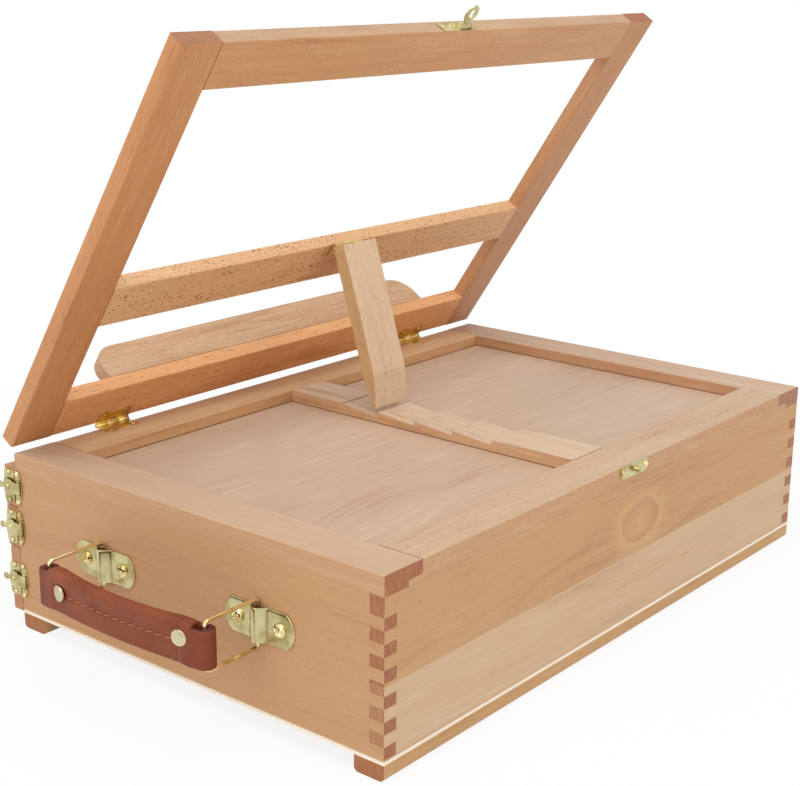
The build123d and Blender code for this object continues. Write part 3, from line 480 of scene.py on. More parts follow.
def heads_of(node):
    """Seat centre, outward direction, radius and height of each screw head in a CAD node."""
    found = []
    work = bmesh.new()
    work.from_mesh(frame["nodes"][node].data)
    bmesh.ops.remove_doubles(work, verts=work.verts, dist=1e-6)
    left = set(work.verts)
    while left:
        island, edge = set(), [left.pop()]
        while edge:
            vert = edge.pop()
            island.add(vert)
            for link in vert.link_edges:
                other = link.other_vert(vert)
                if other in left:
                    left.discard(other)
                    edge.append(other)
        faces = {face for vert in island for face in vert.link_faces}
        areas = {}
        for face in faces:
            key = tuple(round(value, 2) + 0.0 for value in face.normal)
            areas[key] = areas.get(key, 0.0) + face.calc_area()
        seat_key = max(areas, key=areas.get)
        up = -Vector(seat_key).normalized()
        low = min(vert.co.dot(up) for vert in island)
        high = max(vert.co.dot(up) for vert in island)
        middle = sum((vert.co for vert in island), Vector()) / len(island)
        centre = middle + up * (low - middle.dot(up))
        radius = max((vert.co - centre - up * (vert.co - centre).dot(up)).length for vert in island)
        found.append((centre, up, radius, high - low))
    work.free()
    return sorted(found, key=lambda head: tuple(round(value, 5) for value in head[0]))


def screw_pieces(node, name, body, material, rings, sides):
    """One piece of detailed heads in place of a CAD node of plain ones."""
    verts, faces = [], []
    turns = random.Random(name)
    for centre, up, radius, height in heads_of(node):
        points, cells = cross_head(radius, height, rings, sides)
        start = len(verts)
        verts += placed(points, centre, up, turns.uniform(0, math.pi / 2))
        faces += [tuple(start + index for index in face) for face in cells]
    piece = add_piece(name, verts, faces, material, body)
    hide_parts(node)
    return piece


# Camera, floor, lamps
camera_data = bpy.data.cameras.new("camera")
camera = bpy.data.objects.new("camera", camera_data)
bpy.context.scene.collection.objects.link(camera)
camera.location = CAMERA_PLACE
camera.rotation_mode = "QUATERNION"
level_view = CAMERA_FORWARD.to_track_quat("-Z", "Y")
camera.rotation_quaternion = level_view @ Quaternion(Z_AXIS, math.radians(CAMERA_ROLL_DEG))
camera_data.lens = CAMERA_LENS_MM
camera_data.sensor_width = 36.0
camera_data.shift_x, camera_data.shift_y = CAMERA_SHIFT
camera_data.clip_start, camera_data.clip_end = 0.01, 50
bpy.context.scene.camera = camera


def floor_material():
    """Pale floor that the camera sees as white. It keeps the shadow near the object and glows further
    out."""
    g = Graph("pale_floor")
    plain = g.node("ShaderNodeBsdfDiffuse", {"Color": (0.90, 0.895, 0.885, 1)}).outputs[0]
    glow = g.node("ShaderNodeEmission", {"Color": (1, 1, 1, 1), "Strength": 1.0}).outputs[0]
    rays = g.node("ShaderNodeLightPath")
    seen = g.math("MAXIMUM", rays.outputs["Is Camera Ray"], rays.outputs["Is Glossy Ray"])
    seen = g.math("MAXIMUM", seen, rays.outputs["Is Transmission Ray"])
    place = g.node("ShaderNodeTexCoord").outputs["Object"]
    reach = g.node("ShaderNodeVectorMath", {0: place}, operation="LENGTH").outputs["Value"]
    glowing = g.math("MULTIPLY", seen, g.ramp(reach, [(0.32, 0.86), (0.75, 1.0)]))
    mixed = g.node("ShaderNodeMixShader", {0: glowing, 1: plain, 2: glow}).outputs[0]
    g.tree.links.new(mixed, g.out.inputs[0])
    return g.material


FLOOR_HALF = 14.0
floor_mesh = bpy.data.meshes.new("floor")
floor_mesh.from_pydata([(-FLOOR_HALF, -FLOOR_HALF, 0), (FLOOR_HALF, -FLOOR_HALF, 0),
                        (FLOOR_HALF, FLOOR_HALF, 0), (-FLOOR_HALF, FLOOR_HALF, 0)], [], [(0, 1, 2, 3)])
floor = bpy.data.objects.new("floor", floor_mesh)
bpy.context.scene.collection.objects.link(floor)
floor_mesh.materials.append(floor_material())


def studio_world():
    """Soft light from all round, which the camera and shiny surfaces see as plain white."""
    made = bpy.data.worlds.new("studio")
    made.use_nodes = True
    nodes, links = made.node_tree.nodes, made.node_tree.links
    nodes.clear()
    skies = []
    for colour, strength in (((0.97, 0.98, 1.0, 1), 0.62), ((1, 1, 1, 1), 1.0)):
        sky = nodes.new("ShaderNodeBackground")
        sky.inputs["Color"].default_value = colour
        sky.inputs["Strength"].default_value = strength
        skies.append(sky.outputs[0])
    rays = nodes.new("ShaderNodeLightPath")
    seen = rays.outputs["Is Camera Ray"]
    for kind in ("Is Glossy Ray", "Is Transmission Ray"):
        either = nodes.new("ShaderNodeMath")
        either.operation = "MAXIMUM"
        links.new(seen, either.inputs[0])
        links.new(rays.outputs[kind], either.inputs[1])
        seen = either.outputs[0]
    blend = nodes.new("ShaderNodeMixShader")
    for socket, source in zip(blend.inputs, (seen, *skies)):
        links.new(source, socket)
    links.new(blend.outputs[0], nodes.new("ShaderNodeOutputWorld").inputs[0])
    return made


bpy.context.scene.world = studio_world()
bpy.context.scene.view_settings.view_transform = "Standard"


def lamp(name, place, target, width, watts, colour=(1, 1, 1)):
    """A square soft box that looks at a point."""
    data = bpy.data.lights.new(name, "AREA")
    data.shape = "SQUARE"
    data.size = width
    data.energy = watts
    data.color = colour
    made = bpy.data.objects.new(name, data)
    bpy.context.scene.collection.objects.link(made)
    made.location = place
    made.rotation_mode = "QUATERNION"
    made.rotation_quaternion = (Vector(target) - Vector(place)).to_track_quat("-Z", "Y")
    return made


lamp("top_box", (-0.5, -0.3, 2.1), (0, 0, 0.1), 1.6, 22.0, (1.0, 0.985, 0.965))
lamp("left_box", (-2.1, -0.2, 0.9), (-0.1, 0, 0.1), 1.3, 11.0, (1.0, 0.99, 0.98))
lamp("right_box", (0.6, -2.3, 0.9), (0.1, 0, 0.1), 1.4, 9.0, (1.0, 0.99, 0.98))

# Materials on the carried-over nodes
gold = brass("plated_brass", linear(208, 199, 150), linear(176, 161, 108), 0.20, 3)
screw_gold = brass("polished_brass", linear(232, 216, 160), linear(176, 148, 84), 0.05, 9, brushed=0.1)
hinge_gold = brass("hinge_brass", linear(228, 200, 130), linear(196, 158, 88), 0.24, 4)
gold_wire = brass("brass_wire", linear(244, 227, 178), linear(212, 180, 118), 0.10, 5, brushed=0.2,
                  metal=0.9)
rivet_brass = brass("rivet_brass", linear(214, 204, 170), linear(196, 182, 144), 0.30, 7)
hide = leather("red_brown_leather")
thread = thread_material()

# Grain, tint, strength of the flecks, dashes a metre, strength of the figure and contrast
BOARDS = {
    "back_wall_upper_board": (X_AXIS, (0.86, 0.81, 0.65), 0.25, SHORT_DASH, 1.0, 0.75),
    "back_wall_lower_board": (X_AXIS, (0.95, 1.09, 1.17), 0.12, SHORT_DASH, 0.5, 0.8),
    "handle_end_wall": (Y_AXIS, (0.84, 0.77, 0.65), 0.22, SHORT_DASH, 0.6, 0.65),
    "plain_end_wall": (Y_AXIS, (0.87, 0.84, 0.78), 0.20, SHORT_DASH, 0.6, 0.7),
    "back_runner": (X_AXIS, (0.86, 0.81, 0.61), 0.20, SHORT_DASH, 0.4, 1.0),
    "front_runner": (X_AXIS, (0.86, 0.81, 0.61), 0.20, SHORT_DASH, 0.4, 1.0),
    "top_end_rail_handle_side": (Y_AXIS, (0.87, 0.98, 1.15), 0.15, SHORT_DASH, 0.4, 0.75),
    "top_end_rail_plain_side": (Y_AXIS, (0.87, 0.97, 1.16), 0.20, SHORT_DASH, 0.5, 1.0),
    "top_back_rail": (X_AXIS, (0.88, 1.00, 1.15), 0.34, LONG_DASH, 0.4, 1.0),
    "top_front_rail": (X_AXIS, (0.97, 1.04, 1.03), 0.25, SHORT_DASH, 0.4, 1.0),
    "notched_rail": (Y_AXIS, (1.00, 1.23, 1.54), 0.30, SHORT_DASH, 0.4, 1.0),
    "drawer_1_front": (X_AXIS, (0.96, 0.90, 0.85), 0.25, SHORT_DASH, 0.6, 1.0),
    "drawer_2_front": (X_AXIS, (0.97, 0.92, 0.87), 0.25, SHORT_DASH, 0.5, 1.0),
    "drawer_3_front": (X_AXIS, (0.96, 0.90, 0.84), 0.25, SHORT_DASH, 0.8, 1.0),
    "drawer_1_sides": (Y_AXIS, (1.02, 1.0, 0.98), 0.15, SHORT_DASH, 0.3, 1.0),
    "drawer_2_sides": (Y_AXIS, (1.02, 1.0, 0.98), 0.15, SHORT_DASH, 0.3, 1.0),
    "drawer_3_sides": (Y_AXIS, (1.02, 1.0, 0.98), 0.15, SHORT_DASH, 0.3, 1.0),
    "drawer_guides": (Y_AXIS, (1.0, 0.98, 0.95), 0.15, SHORT_DASH, 0.3, 1.0),
    "easel_stile_handle_side": (UP_FRAME, (0.87, 0.66, 0.45), 0.30, LONG_DASH, 0.3, 1.0),
    "easel_stile_plain_side": (UP_FRAME, (0.82, 0.66, 0.52), 0.40, SHORT_DASH, 0.3, 1.0),
    "easel_bottom_rail": (X_AXIS, (1.13, 0.94, 0.71), 0.60, LONG_DASH, 0.3, 1.0),
    "easel_middle_rail": (X_AXIS, (1.08, 1.04, 0.92), 1.0, SHORT_DASH, 0.3, 0.8),
    "easel_top_rail": (X_AXIS, (0.94, 0.81, 0.65), 0.38, SHORT_DASH, 0.3, 1.0),
    "canvas_ledge": (X_AXIS, (0.91, 0.97, 1.04), 0.50, LONG_DASH, 0.9, 1.0),
    "prop_leg": (DOWN_PROP, (1.11, 1.33, 1.54), 0.45, LONG_DASH, 0.5, 0.55),
}
PANEL_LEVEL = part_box("top_panel")[1][2]
# Painted shade: the side faces of the top rails are darker and warmer than their tops
PAINTED_SIDE_SHADE = (0.97, 0.80, 0.63)
# What sets a board apart: a knot, a tint of its own on its end grain, a painted shade and sheen tint on
# the faces that look along one axis, how much of the end grain's colour shows, and a painted shade line
# where a rail's foot meets the sunk panel
EXTRAS = {
    "back_wall_upper_board": {"knot": (0.0155, -0.145, 0.0726)},
    "easel_stile_handle_side": {"end_tint": (0.81, 0.88, 0.87)},
    "easel_top_rail": {"side": (UP_FRAME, (0.85, 1.03, 1.36))},
    "prop_leg": {"side": (X_AXIS, (0.825, 0.70, 0.54))},
    "top_back_rail": {"side": (Y_AXIS, (0.97, 0.80, 0.62))},
    "top_front_rail": {"side": (Y_AXIS, (0.97, 0.84, 0.70)), "foot": (-Y_AXIS, PANEL_LEVEL)},
    "top_end_rail_handle_side": {"side": (X_AXIS, PAINTED_SIDE_SHADE), "end_tint": (0.87, 0.76, 0.65)},
    "top_end_rail_plain_side": {"side": (X_AXIS, PAINTED_SIDE_SHADE), "foot": (-X_AXIS, PANEL_LEVEL)},
    "notched_rail": {"side": (X_AXIS, PAINTED_SIDE_SHADE), "foot": (-X_AXIS, PANEL_LEVEL)},
    "canvas_ledge": {"end_share": 0.25},
    "drawer_1_front": {"end_share": 0.6},
    "drawer_2_front": {"end_share": 0.6},
    "drawer_3_front": {"end_share": 0.6},
}
PLY_SHEETS = ("bottom_panel", "top_panel", "drawer_1_bottom", "drawer_2_bottom", "drawer_3_bottom")
BRASS_NODES = ("case_hinge_leaves", "case_hinge_pins", "hasp_keeper", "latch_bases", "easel_hinge_leaves",
               "prop_hinge_rail_leaf", "prop_hinge_leg_leaf", "prop_hinge_pin", "hasp_base", "hasp_flap",
               "drawer_1_catch", "drawer_2_catch", "drawer_3_catch", "latch_1_flap", "latch_2_flap",
               "latch_3_flap")
HINGE_NODES = ("case_hinge_leaves", "case_hinge_pins", "easel_hinge_leaves", "prop_hinge_rail_leaf",
               "prop_hinge_leg_leaf", "prop_hinge_pin")
EASE_WIDTH = 0.14 * MM


def dress(node, material):
    """Give a CAD node one material on every slot."""
    data = frame["nodes"][node].data
    data.materials.clear()
    data.materials.append(material)
    for polygon in data.polygons:
        polygon.material_index = 0


for number, (node, (grain, tint, fleck, dash_rate, figure, contrast)) in enumerate(BOARDS.items()):
    material = beech("beech_" + node, grain, 100 + number, tint, fleck, dash_rate, figure, contrast,
                     EXTRAS.get(node, {}))
    dress(node, material)
for number, node in enumerate(PLY_SHEETS):
    sheet_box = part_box(node)
    dress(node, plywood("plywood_" + node, 200 + number, sheet_box[0][2], sheet_box[1][2]))


def eased_piece(node, body, material):
    """A copy of a brass node with its sharp edges rounded over and its barrels shaded round."""
    work = bmesh.new()
    work.from_mesh(frame["nodes"][node].data)
    bmesh.ops.remove_doubles(work, verts=work.verts, dist=1e-6)
    bmesh.ops.dissolve_limit(work, angle_limit=math.radians(1), verts=work.verts, edges=work.edges)
    curved = work.faces.layers.int.new("curved")
    sharp = []
    for edge in work.edges:
        bend = math.degrees(edge.calc_face_angle(0.0))
        if 8 < bend < 42:
            for face in edge.link_faces:
                face[curved] = 1
        elif bend > 42:
            sharp.append(edge)
    bmesh.ops.bevel(work, geom=sharp, offset=EASE_WIDTH, offset_type="OFFSET", segments=2, profile=0.5,
                    affect="EDGES", clamp_overlap=True)
    small_face = 1.5 * MM * MM
    rounded = [bool(face[curved]) or face.calc_area() < small_face for face in work.faces]
    verts = [vert.co.copy() for vert in work.verts]
    work.verts.index_update()
    faces = [tuple(vert.index for vert in face.verts) for face in work.faces]
    work.free()
    piece = add_piece(node + "_eased", verts, faces, material, body)
    for polygon, is_round in zip(piece.data.polygons, rounded):
        polygon.use_smooth = is_round
    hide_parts(node)


for body, nodes in frame["record"]["behaviour"]["bodies"].items():
    for node in nodes:
        if node in BRASS_NODES:
            eased_piece(node, body, hinge_gold if node in HINGE_NODES else gold)


# Screws
screw_pieces("case_screws", "case_screw_heads", "case", screw_gold, 8, 28)
screw_pieces("easel_screws", "easel_screw_heads", "easel", screw_gold, 8, 28)
screw_pieces("prop_leg_screws", "prop_screw_heads", "prop", screw_gold, 8, 28)
screw_pieces("handle_bracket_screws", "bracket_screw_heads", "case", screw_gold, 16, 56)


# Outline of the grip
def bow(y):
    """How far the grip stands out at y, from 0 at the bails to 1 in the middle."""
    share = (y - HANDLE_Y) / HALF_SPAN
    return 1 - share * share


def grip_faces_x(y):
    """Outer and inner face of the grip at y."""
    outer = GRIP_X - GRIP_END_R - GRIP_BOW * bow(y)
    thickness = 2 * GRIP_END_R + (GRIP_MID_T - 2 * GRIP_END_R) * max(bow(y), 0.0)
    return outer, outer + thickness


def grip_levels(y):
    """Lower and upper edge of the grip at y: its foot is a little waisted, and its roll swells upwards."""
    middle = max(bow(y), 0.0)
    rise = smoothstep(0.0, 0.45, middle)
    return -GRIP_HEIGHT / 2 + GRIP_WAIST * middle ** 1.2, GRIP_HEIGHT / 2 + GRIP_SWELL * rise


# Rivets: they and the seam lie a little nearer the grip's back end, and the back rivet is the higher one
SEAM_SHIFT = -3.2 * MM
RIVET_LIFTS = {-1: 4.2 * MM, 1: 2.0 * MM}
RIVET_SHARE = 0.92
rivet_heads = []
for centre, up, radius, height in heads_of("grip_rivets"):
    side = 1 if centre.y > HANDLE_Y else -1
    y = centre.y + SEAM_SHIFT
    on_face = Vector((grip_faces_x(y)[0] + 0.2 * MM, y, centre.z + RIVET_LIFTS[side]))
    rivet_heads.append((on_face, up, radius * RIVET_SHARE))
rivet_verts, rivet_faces = [], []
for centre, up, radius in rivet_heads:
    rim_profile = [(radius, -0.9 * MM), (radius, 0.35 * MM), (radius - 0.15 * MM, 0.56 * MM),
                   (radius - 0.5 * MM, 0.62 * MM), (radius - 0.7 * MM, 0.48 * MM),
                   (0.6 * radius, 0.60 * MM), (0.3 * radius, 0.68 * MM), (0.05 * radius, 0.70 * MM)]
    points, cells = turned(rim_profile, 56)
    start = len(rivet_verts)
    rivet_verts += placed(points, centre, up)
    rivet_faces += [tuple(start + index for index in face) for face in cells]
rivets = add_piece("grip_rivet_heads", rivet_verts, rivet_faces, rivet_brass, "grip")
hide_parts("grip_rivets")


# Bails
def bail_path(y):
    """The closed centre line of a bail, with round corners."""
    corner_steps = 7
    middle = END_FACE_X - (WIRE_OUT + BAIL_REACH) / 2
    half_out = (BAIL_REACH - WIRE_OUT) / 2 - BAIL_CORNER_R
    half_up = BAIL_HEIGHT / 2 - BAIL_CORNER_R
    path = []
    for quarter, (side_out, side_up) in enumerate(((1, 1), (-1, 1), (-1, -1), (1, -1))):
        for step in range(corner_steps + 1):
            angle = math.radians(90 * (quarter + step / corner_steps))
            path.append(Vector((middle + side_out * half_out + BAIL_CORNER_R * math.cos(angle), y,
                                HANDLE_Z + side_up * half_up + BAIL_CORNER_R * math.sin(angle))))
    return path


for label, y in (("front", HANDLE_Y + HALF_SPAN), ("back", HANDLE_Y - HALF_SPAN)):
    verts, faces = tube(bail_path(y), WIRE_R, 24)
    bail = add_piece(f"bail_wire_{label}", verts, faces, gold_wire, f"bail_{label}")
    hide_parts(f"handle_bail_{label}")

# Brackets
BRACKET_HALF = 25.5 * MM
BRACKET_HEIGHT = 20.0 * MM
BRACKET_BULGE = 5.5 * MM
BRACKET_T = 1.2 * MM
CHANNEL_HALF = 6.2 * MM
CHANNEL_TOP_HALF = 1.3 * MM
CHANNEL_OUT = 5.8 * MM
SHEET_T = 0.9 * MM
BEND_R = 0.4 * MM
RIM_WIDTH = 0.5 * MM
RIM_DROP = 0.3 * MM
WALL_GAP = 0.02 * MM
END_ARC_R = ((BRACKET_HEIGHT / 2) ** 2 + BRACKET_BULGE ** 2) / (2 * BRACKET_BULGE)


def bracket_outer(y):
    """How far the sheet's outer face stands from the wall at a distance from the bracket's middle."""
    levels = []
    for part in range(-3, 4):
        share = (CHANNEL_HALF - abs(y + part / 3 * BEND_R)) / (CHANNEL_HALF - CHANNEL_TOP_HALF)
        levels.append(BRACKET_T + (CHANNEL_OUT - BRACKET_T) * min(max(share, 0.0), 1.0))
    return sum(levels) / len(levels)


def bracket_half_height(y):
    """Half the plate's height, straight in the middle and round at its bulging ends."""
    past = abs(y) - (BRACKET_HALF - END_ARC_R)
    if past <= 0:
        return BRACKET_HEIGHT / 2
    return min(math.sqrt(max(END_ARC_R ** 2 - past ** 2, 0.0)), BRACKET_HEIGHT / 2)


def bracket_piece(name, centre_y):
    """A pressed plate with round ends and a hollow channel across its middle."""
    count = 120
    rows = 14
    stations = [BRACKET_HALF * math.sin(math.pi * (index / count - 0.5)) for index in range(count + 1)]
    verts = []
    for layer in (0, 1):
        for y in stations:
            half_height = bracket_half_height(y)
            outer = bracket_outer(y)
            for row in range(rows + 1):
                share = math.sin(math.pi / 2 * (-1 + 2 * row / rows))
                rim = smoothstep(half_height - RIM_WIDTH, half_height, abs(share) * half_height)
                rim = max(rim, smoothstep(BRACKET_HALF - RIM_WIDTH, BRACKET_HALF, abs(y)))
                out = outer - RIM_DROP * rim if layer == 0 else max(outer - SHEET_T, WALL_GAP)
                if layer == 1 and outer < BRACKET_T + 0.1 * MM:
                    out = WALL_GAP
                verts.append((END_FACE_X - out, centre_y + y, HANDLE_Z + share * half_height))
    per_layer = (count + 1) * (rows + 1)
    front = grid_faces(count + 1, rows + 1, 0, wrap_columns=False)
    back = grid_faces(count + 1, rows + 1, per_layer, wrap_columns=False)
    faces = front + [tuple(reversed(face)) for face in back]
    for index in range(count):
        for row in (0, rows):
            a = index * (rows + 1) + row
            b = (index + 1) * (rows + 1) + row
            quad = (a, b, b + per_layer, a + per_layer)
            faces.append(quad if row else tuple(reversed(quad)))
    piece = add_piece(name, verts, faces, gold, "case")
    shade_bends(piece.data, centre_y)
    edges = piece.modifiers.new("sharp_edges", "EDGE_SPLIT")
    edges.split_angle = math.radians(50)
    return piece


def shade_bends(mesh, centre_y):
    """An attribute of painted shade along the channel's feet and a painted dark reflection along its
    crown.
    """
    work = bmesh.new()
    work.from_mesh(mesh)
    painted_shade_and_reflection = work.verts.layers.float.new("painted_shade_and_reflection")
    for vert in work.verts:
        across = abs(vert.co.y - centre_y)
        foot = math.exp(-((across - CHANNEL_HALF) / (0.7 * MM)) ** 2)
        crown = math.exp(-((across - CHANNEL_TOP_HALF) / (0.5 * MM)) ** 2)
        # Feet: painted shade in the creases; crown: a painted dark reflection along the ridge
        vert[painted_shade_and_reflection] = max(0.5 * foot, 0.25 * crown)
    bmesh.ops.remove_doubles(work, verts=work.verts, dist=1e-6)
    bmesh.ops.recalc_face_normals(work, faces=work.faces)
    work.to_mesh(mesh)
    work.free()


for label, y in (("front", HANDLE_Y + HALF_SPAN), ("back", HANDLE_Y - HALF_SPAN)):
    bracket = bracket_piece(f"bracket_plate_{label}", y)
    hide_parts("handle_brackets")


# Leather grip
BODY_ENDS = {-1: 5.6 * MM, 1: 4.0 * MM}
ROLL_R = 3.6 * MM
FOOT_R = 1.6 * MM
ROLL_PROUD = 1.5 * MM
CREASE_FROM = 5.0 * MM
CREASE_TO = 8.0 * MM
FLANGE_CUT = 3.0 * MM
FLANGE_FROM = 13.0 * MM


def corner_pull(level, low, high, top_r, foot_r):
    """How far a face is drawn in at a level, by the rounding at its top and its foot."""
    for edge, radius in ((high - level, top_r), (level - low, foot_r)):
        if edge < radius:
            return radius - math.sqrt(max(radius ** 2 - (radius - edge) ** 2, 0.0))
    return 0.0


def grip_body():
    """The stuffed middle of the grip: a roll along its top and a thinner sewn flange below."""
    verts = []
    stations, levels = 96, 34
    y_low = HANDLE_Y - HALF_SPAN + BODY_ENDS[-1]
    y_high = HANDLE_Y + HALF_SPAN - BODY_ENDS[1]
    for station in range(stations + 1):
        y = y_low + (y_high - y_low) * station / stations
        outer, inner = grip_faces_x(y)
        low, high = grip_levels(y)
        middle = min(2 * bow(y), 1.0)
        fronts, backs = [], []
        for step in range(levels + 1):
            level = (high + low) / 2 + (high - low) / 2 * math.cos(math.pi * step / levels)
            sunk = ROLL_PROUD * middle * smoothstep(high - CREASE_FROM, high - CREASE_TO, level)
            front = outer + corner_pull(level, low, high, ROLL_R, FOOT_R) + sunk
            thinner = FLANGE_CUT * middle * smoothstep(high - CREASE_TO, high - FLANGE_FROM, level)
            back = inner - corner_pull(level, low, high, ROLL_R, FOOT_R) - thinner
            fronts.append(Vector((front, y, HANDLE_Z + level)))
            backs.append(Vector((back, y, HANDLE_Z + level)))
        verts += fronts + backs[::-1]
    around = 2 * (levels + 1)
    faces = grid_faces(stations + 1, around)
    last = stations * around
    faces.append(tuple(range(around)))
    faces.append(tuple(reversed([last + step for step in range(around)])))
    return verts, faces


LOOP_RUN = 16 * MM
LOOP_TOP_DROP = 0.6 * MM
SUNK_TOP_DROP = 4.5 * MM
RUN_SUNK = 2.2 * MM


def loop_levels(y, side):
    """Lower and upper level of the strap's loop: it sinks into the roll where its run begins."""
    from_wire = abs(y - HANDLE_Y - side * HALF_SPAN)
    low, high = grip_levels(y) if abs(y - HANDLE_Y) < HALF_SPAN else (-GRIP_HEIGHT / 2, GRIP_HEIGHT / 2)
    sunk = smoothstep(BODY_ENDS[side], LOOP_RUN, from_wire)
    return low + (0.2 + 1.8 * sunk) * MM, min(high, GRIP_HEIGHT / 2) - LOOP_TOP_DROP - SUNK_TOP_DROP * sunk


def strap_loop(side):
    """The strap's turn round a bail: a sheet along the front, thick where it is pulled tight round the
    wire, and back along the inner face. It leaves a hollow between the wire and the body."""
    wire_y = HANDLE_Y + side * HALF_SPAN
    tight_t = GRIP_END_R - WIRE_R - 0.3 * MM
    corner = 0.5 * MM
    outline = []
    run_steps, turn_steps = 8, 30
    for step in range(run_steps):
        y = wire_y - side * LOOP_RUN * (1 - step / run_steps)
        outline.append((Vector((grip_faces_x(y)[0], y, 0)), Vector((-1, 0, 0)), LEATHER_T))
    for step in range(turn_steps + 1):
        angle = math.pi * step / turn_steps
        away = Vector((-math.cos(angle), side * math.sin(angle), 0))
        thick = LEATHER_T + (tight_t - LEATHER_T) * math.sin(angle) ** 1.5
        outline.append((Vector((GRIP_X, wire_y, 0)) + away * GRIP_END_R, away, thick))
    for step in range(1, run_steps + 1):
        y = wire_y - side * LOOP_RUN * step / run_steps
        outline.append((Vector((grip_faces_x(y)[1], y, 0)), Vector((1, 0, 0)), LEATHER_T))
    verts = []
    for point, away, thick in outline:
        low, high = loop_levels(point.y, side)
        sunk = RUN_SUNK * smoothstep(0.6 * LOOP_RUN, LOOP_RUN, side * (wire_y - point.y))
        for quarter, (out, top) in enumerate(((1, 1), (0, 1), (0, 0), (1, 0))):
            for step in range(4):
                angle = math.radians(90 * (quarter + step / 3))
                inward = sunk + (corner if out else thick - corner) - corner * math.cos(angle)
                level = (high - corner if top else low + corner) + corner * math.sin(angle)
                verts.append(point - away * inward + Z_AXIS * (HANDLE_Z + level))
    faces = grid_faces(len(outline), 16)
    last = (len(outline) - 1) * 16
    faces.append(tuple(range(16)))
    faces.append(tuple(reversed([last + step for step in range(16)])))
    return verts, faces


def closed_work(parts):
    """One mesh of several closed shapes, with outward normals."""
    work = bmesh.new()
    for verts, faces in parts:
        made = [work.verts.new(v) for v in verts]
        for face in faces:
            work.faces.new([made[index] for index in face])
    bmesh.ops.recalc_face_normals(work, faces=work.faces)
    return work


def remeshed(work, name, voxel):
    """The union of closed shapes as one even mesh."""
    mesh = bpy.data.meshes.new(name + "_raw")
    work.to_mesh(mesh)
    work.free()
    raw = bpy.data.objects.new(name + "_raw", mesh)
    bpy.context.scene.collection.objects.link(raw)
    remesh = raw.modifiers.new("remesh", "REMESH")
    remesh.mode = "VOXEL"
    remesh.voxel_size = voxel
    graph = bpy.context.evaluated_depsgraph_get()
    result = bpy.data.meshes.new_from_object(raw.evaluated_get(graph))
    bpy.data.objects.remove(raw)
    bpy.data.meshes.remove(mesh)
    return result


STITCH_Z = HANDLE_Z + SEAM_RISE
SEAM_INSET = 20.5 * MM
STITCH_FROM = HANDLE_Y - HALF_SPAN + SEAM_INSET + SEAM_SHIFT
STITCH_TO = HANDLE_Y + HALF_SPAN - SEAM_INSET + SEAM_SHIFT
STITCH_COUNT = 13
DIMPLE_R = 5.6 * MM
BORE_R = 4.0 * MM
GRIP_VOXEL = 0.45 * MM

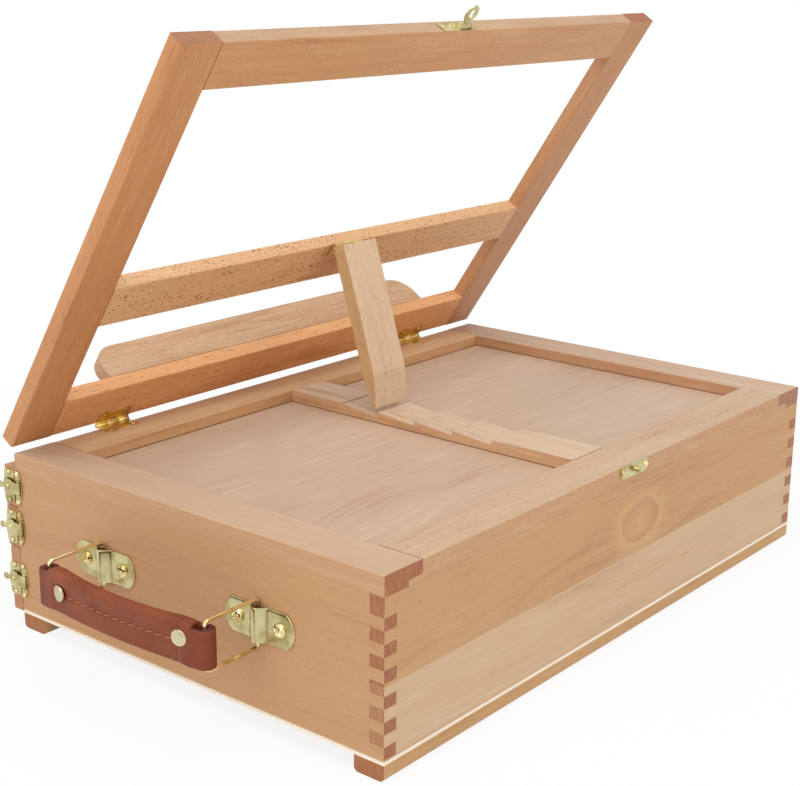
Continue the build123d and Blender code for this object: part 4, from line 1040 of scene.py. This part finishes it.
grip_mesh = remeshed(closed_work([grip_body(), strap_loop(-1), strap_loop(1)]), "grip", GRIP_VOXEL)
work = bmesh.new()
work.from_mesh(grip_mesh)
for _ in range(3):
    bmesh.ops.smooth_vert(work, verts=work.verts, factor=0.5, use_axis_x=True, use_axis_y=True,
                          use_axis_z=True)
work.normal_update()
edge_paint_and_shade_layer = work.verts.layers.float.new("rim")
for vert in work.verts:
    y = vert.co.y
    from_end = HALF_SPAN - abs(y - HANDLE_Y)
    on_top = smoothstep(0.75, 0.95, abs(vert.normal.z))
    from_wire = Vector((vert.co.x - GRIP_X, abs(y - HANDLE_Y) - HALF_SPAN)).length
    # Painted shade inside the hollow round each wire; dark edge paint on the cut tops near the ends
    bore_shade = smoothstep(BORE_R, BORE_R - 0.6 * MM, from_wire) * smoothstep(0.8, 0.4, abs(vert.normal.z))
    vert[edge_paint_and_shade_layer] = max(on_top * smoothstep(8 * MM, 5 * MM, from_end), bore_shade)
    facing_out = smoothstep(-0.3, -0.8, vert.normal.x)
    sewn = smoothstep(STITCH_FROM - 3 * MM, STITCH_FROM, y) * smoothstep(STITCH_TO + 3 * MM, STITCH_TO, y)
    groove = math.exp(-((vert.co.z - STITCH_Z) / (0.9 * MM)) ** 2)
    vert.co.x += 0.75 * MM * groove * facing_out * sewn
    for centre, up, _ in rivet_heads:
        away = (vert.co - centre).length
        vert.co -= up * 0.35 * MM * facing_out * math.exp(-(away / DIMPLE_R) ** 4)
work.to_mesh(grip_mesh)
work.free()
grip = bpy.data.objects.new("leather_grip", grip_mesh)
bpy.context.scene.collection.objects.link(grip)
for polygon in grip_mesh.polygons:
    polygon.use_smooth = True
grip_mesh.materials.clear()
grip_mesh.materials.append(hide)
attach(grip, "grip")
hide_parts("handle_grip")


def stitch(start, end, bulge, thick, sides=10, steps=10):
    """One stitch: a short thread that comes up at one end, lies on the leather and dives at the other."""
    verts = []
    ahead = (end - start).normalized()
    out = -X_AXIS
    across = ahead.cross(out).normalized()
    for step in range(steps + 1):
        share = step / steps
        lift = math.sin(math.pi * share ** 0.7) ** 0.5 if 0 < step < steps else -0.6
        centre = start + (end - start) * share + out * bulge * lift
        width = thick * (0.75 + 0.25 * math.sin(math.pi * share))
        for side in range(sides):
            angle = 2 * math.pi * side / sides
            verts.append(centre + across * width * math.cos(angle) + out * width * math.sin(angle))
    faces = grid_faces(steps + 1, sides)
    last = steps * sides
    faces.append(tuple(reversed(range(sides))))
    faces.append(tuple(last + side for side in range(sides)))
    return verts, faces


def leather_front(y, z):
    """The grip's outer surface at a point of its face."""
    hit, place, _, _ = grip.ray_cast(Vector((GRIP_X - 60 * MM, y, z)), X_AXIS)
    return place if hit else Vector((grip_faces_x(y)[0], y, z))


bpy.context.view_layer.update()
stitch_verts, stitch_faces = [], []
pitch = (STITCH_TO - STITCH_FROM) / STITCH_COUNT
slant = 0.25 * MM
for number in range(STITCH_COUNT):
    y = STITCH_FROM + pitch * number
    start_point = leather_front(y + 0.10 * pitch, STITCH_Z + slant)
    end_point = leather_front(y + 0.86 * pitch, STITCH_Z - slant)
    verts, faces = stitch(start_point, end_point, 0.45 * MM, 0.46 * MM)
    start = len(stitch_verts)
    stitch_verts += verts
    stitch_faces += [tuple(start + index for index in face) for face in faces]
add_piece("grip_stitches", stitch_verts, stitch_faces, thread, "grip")
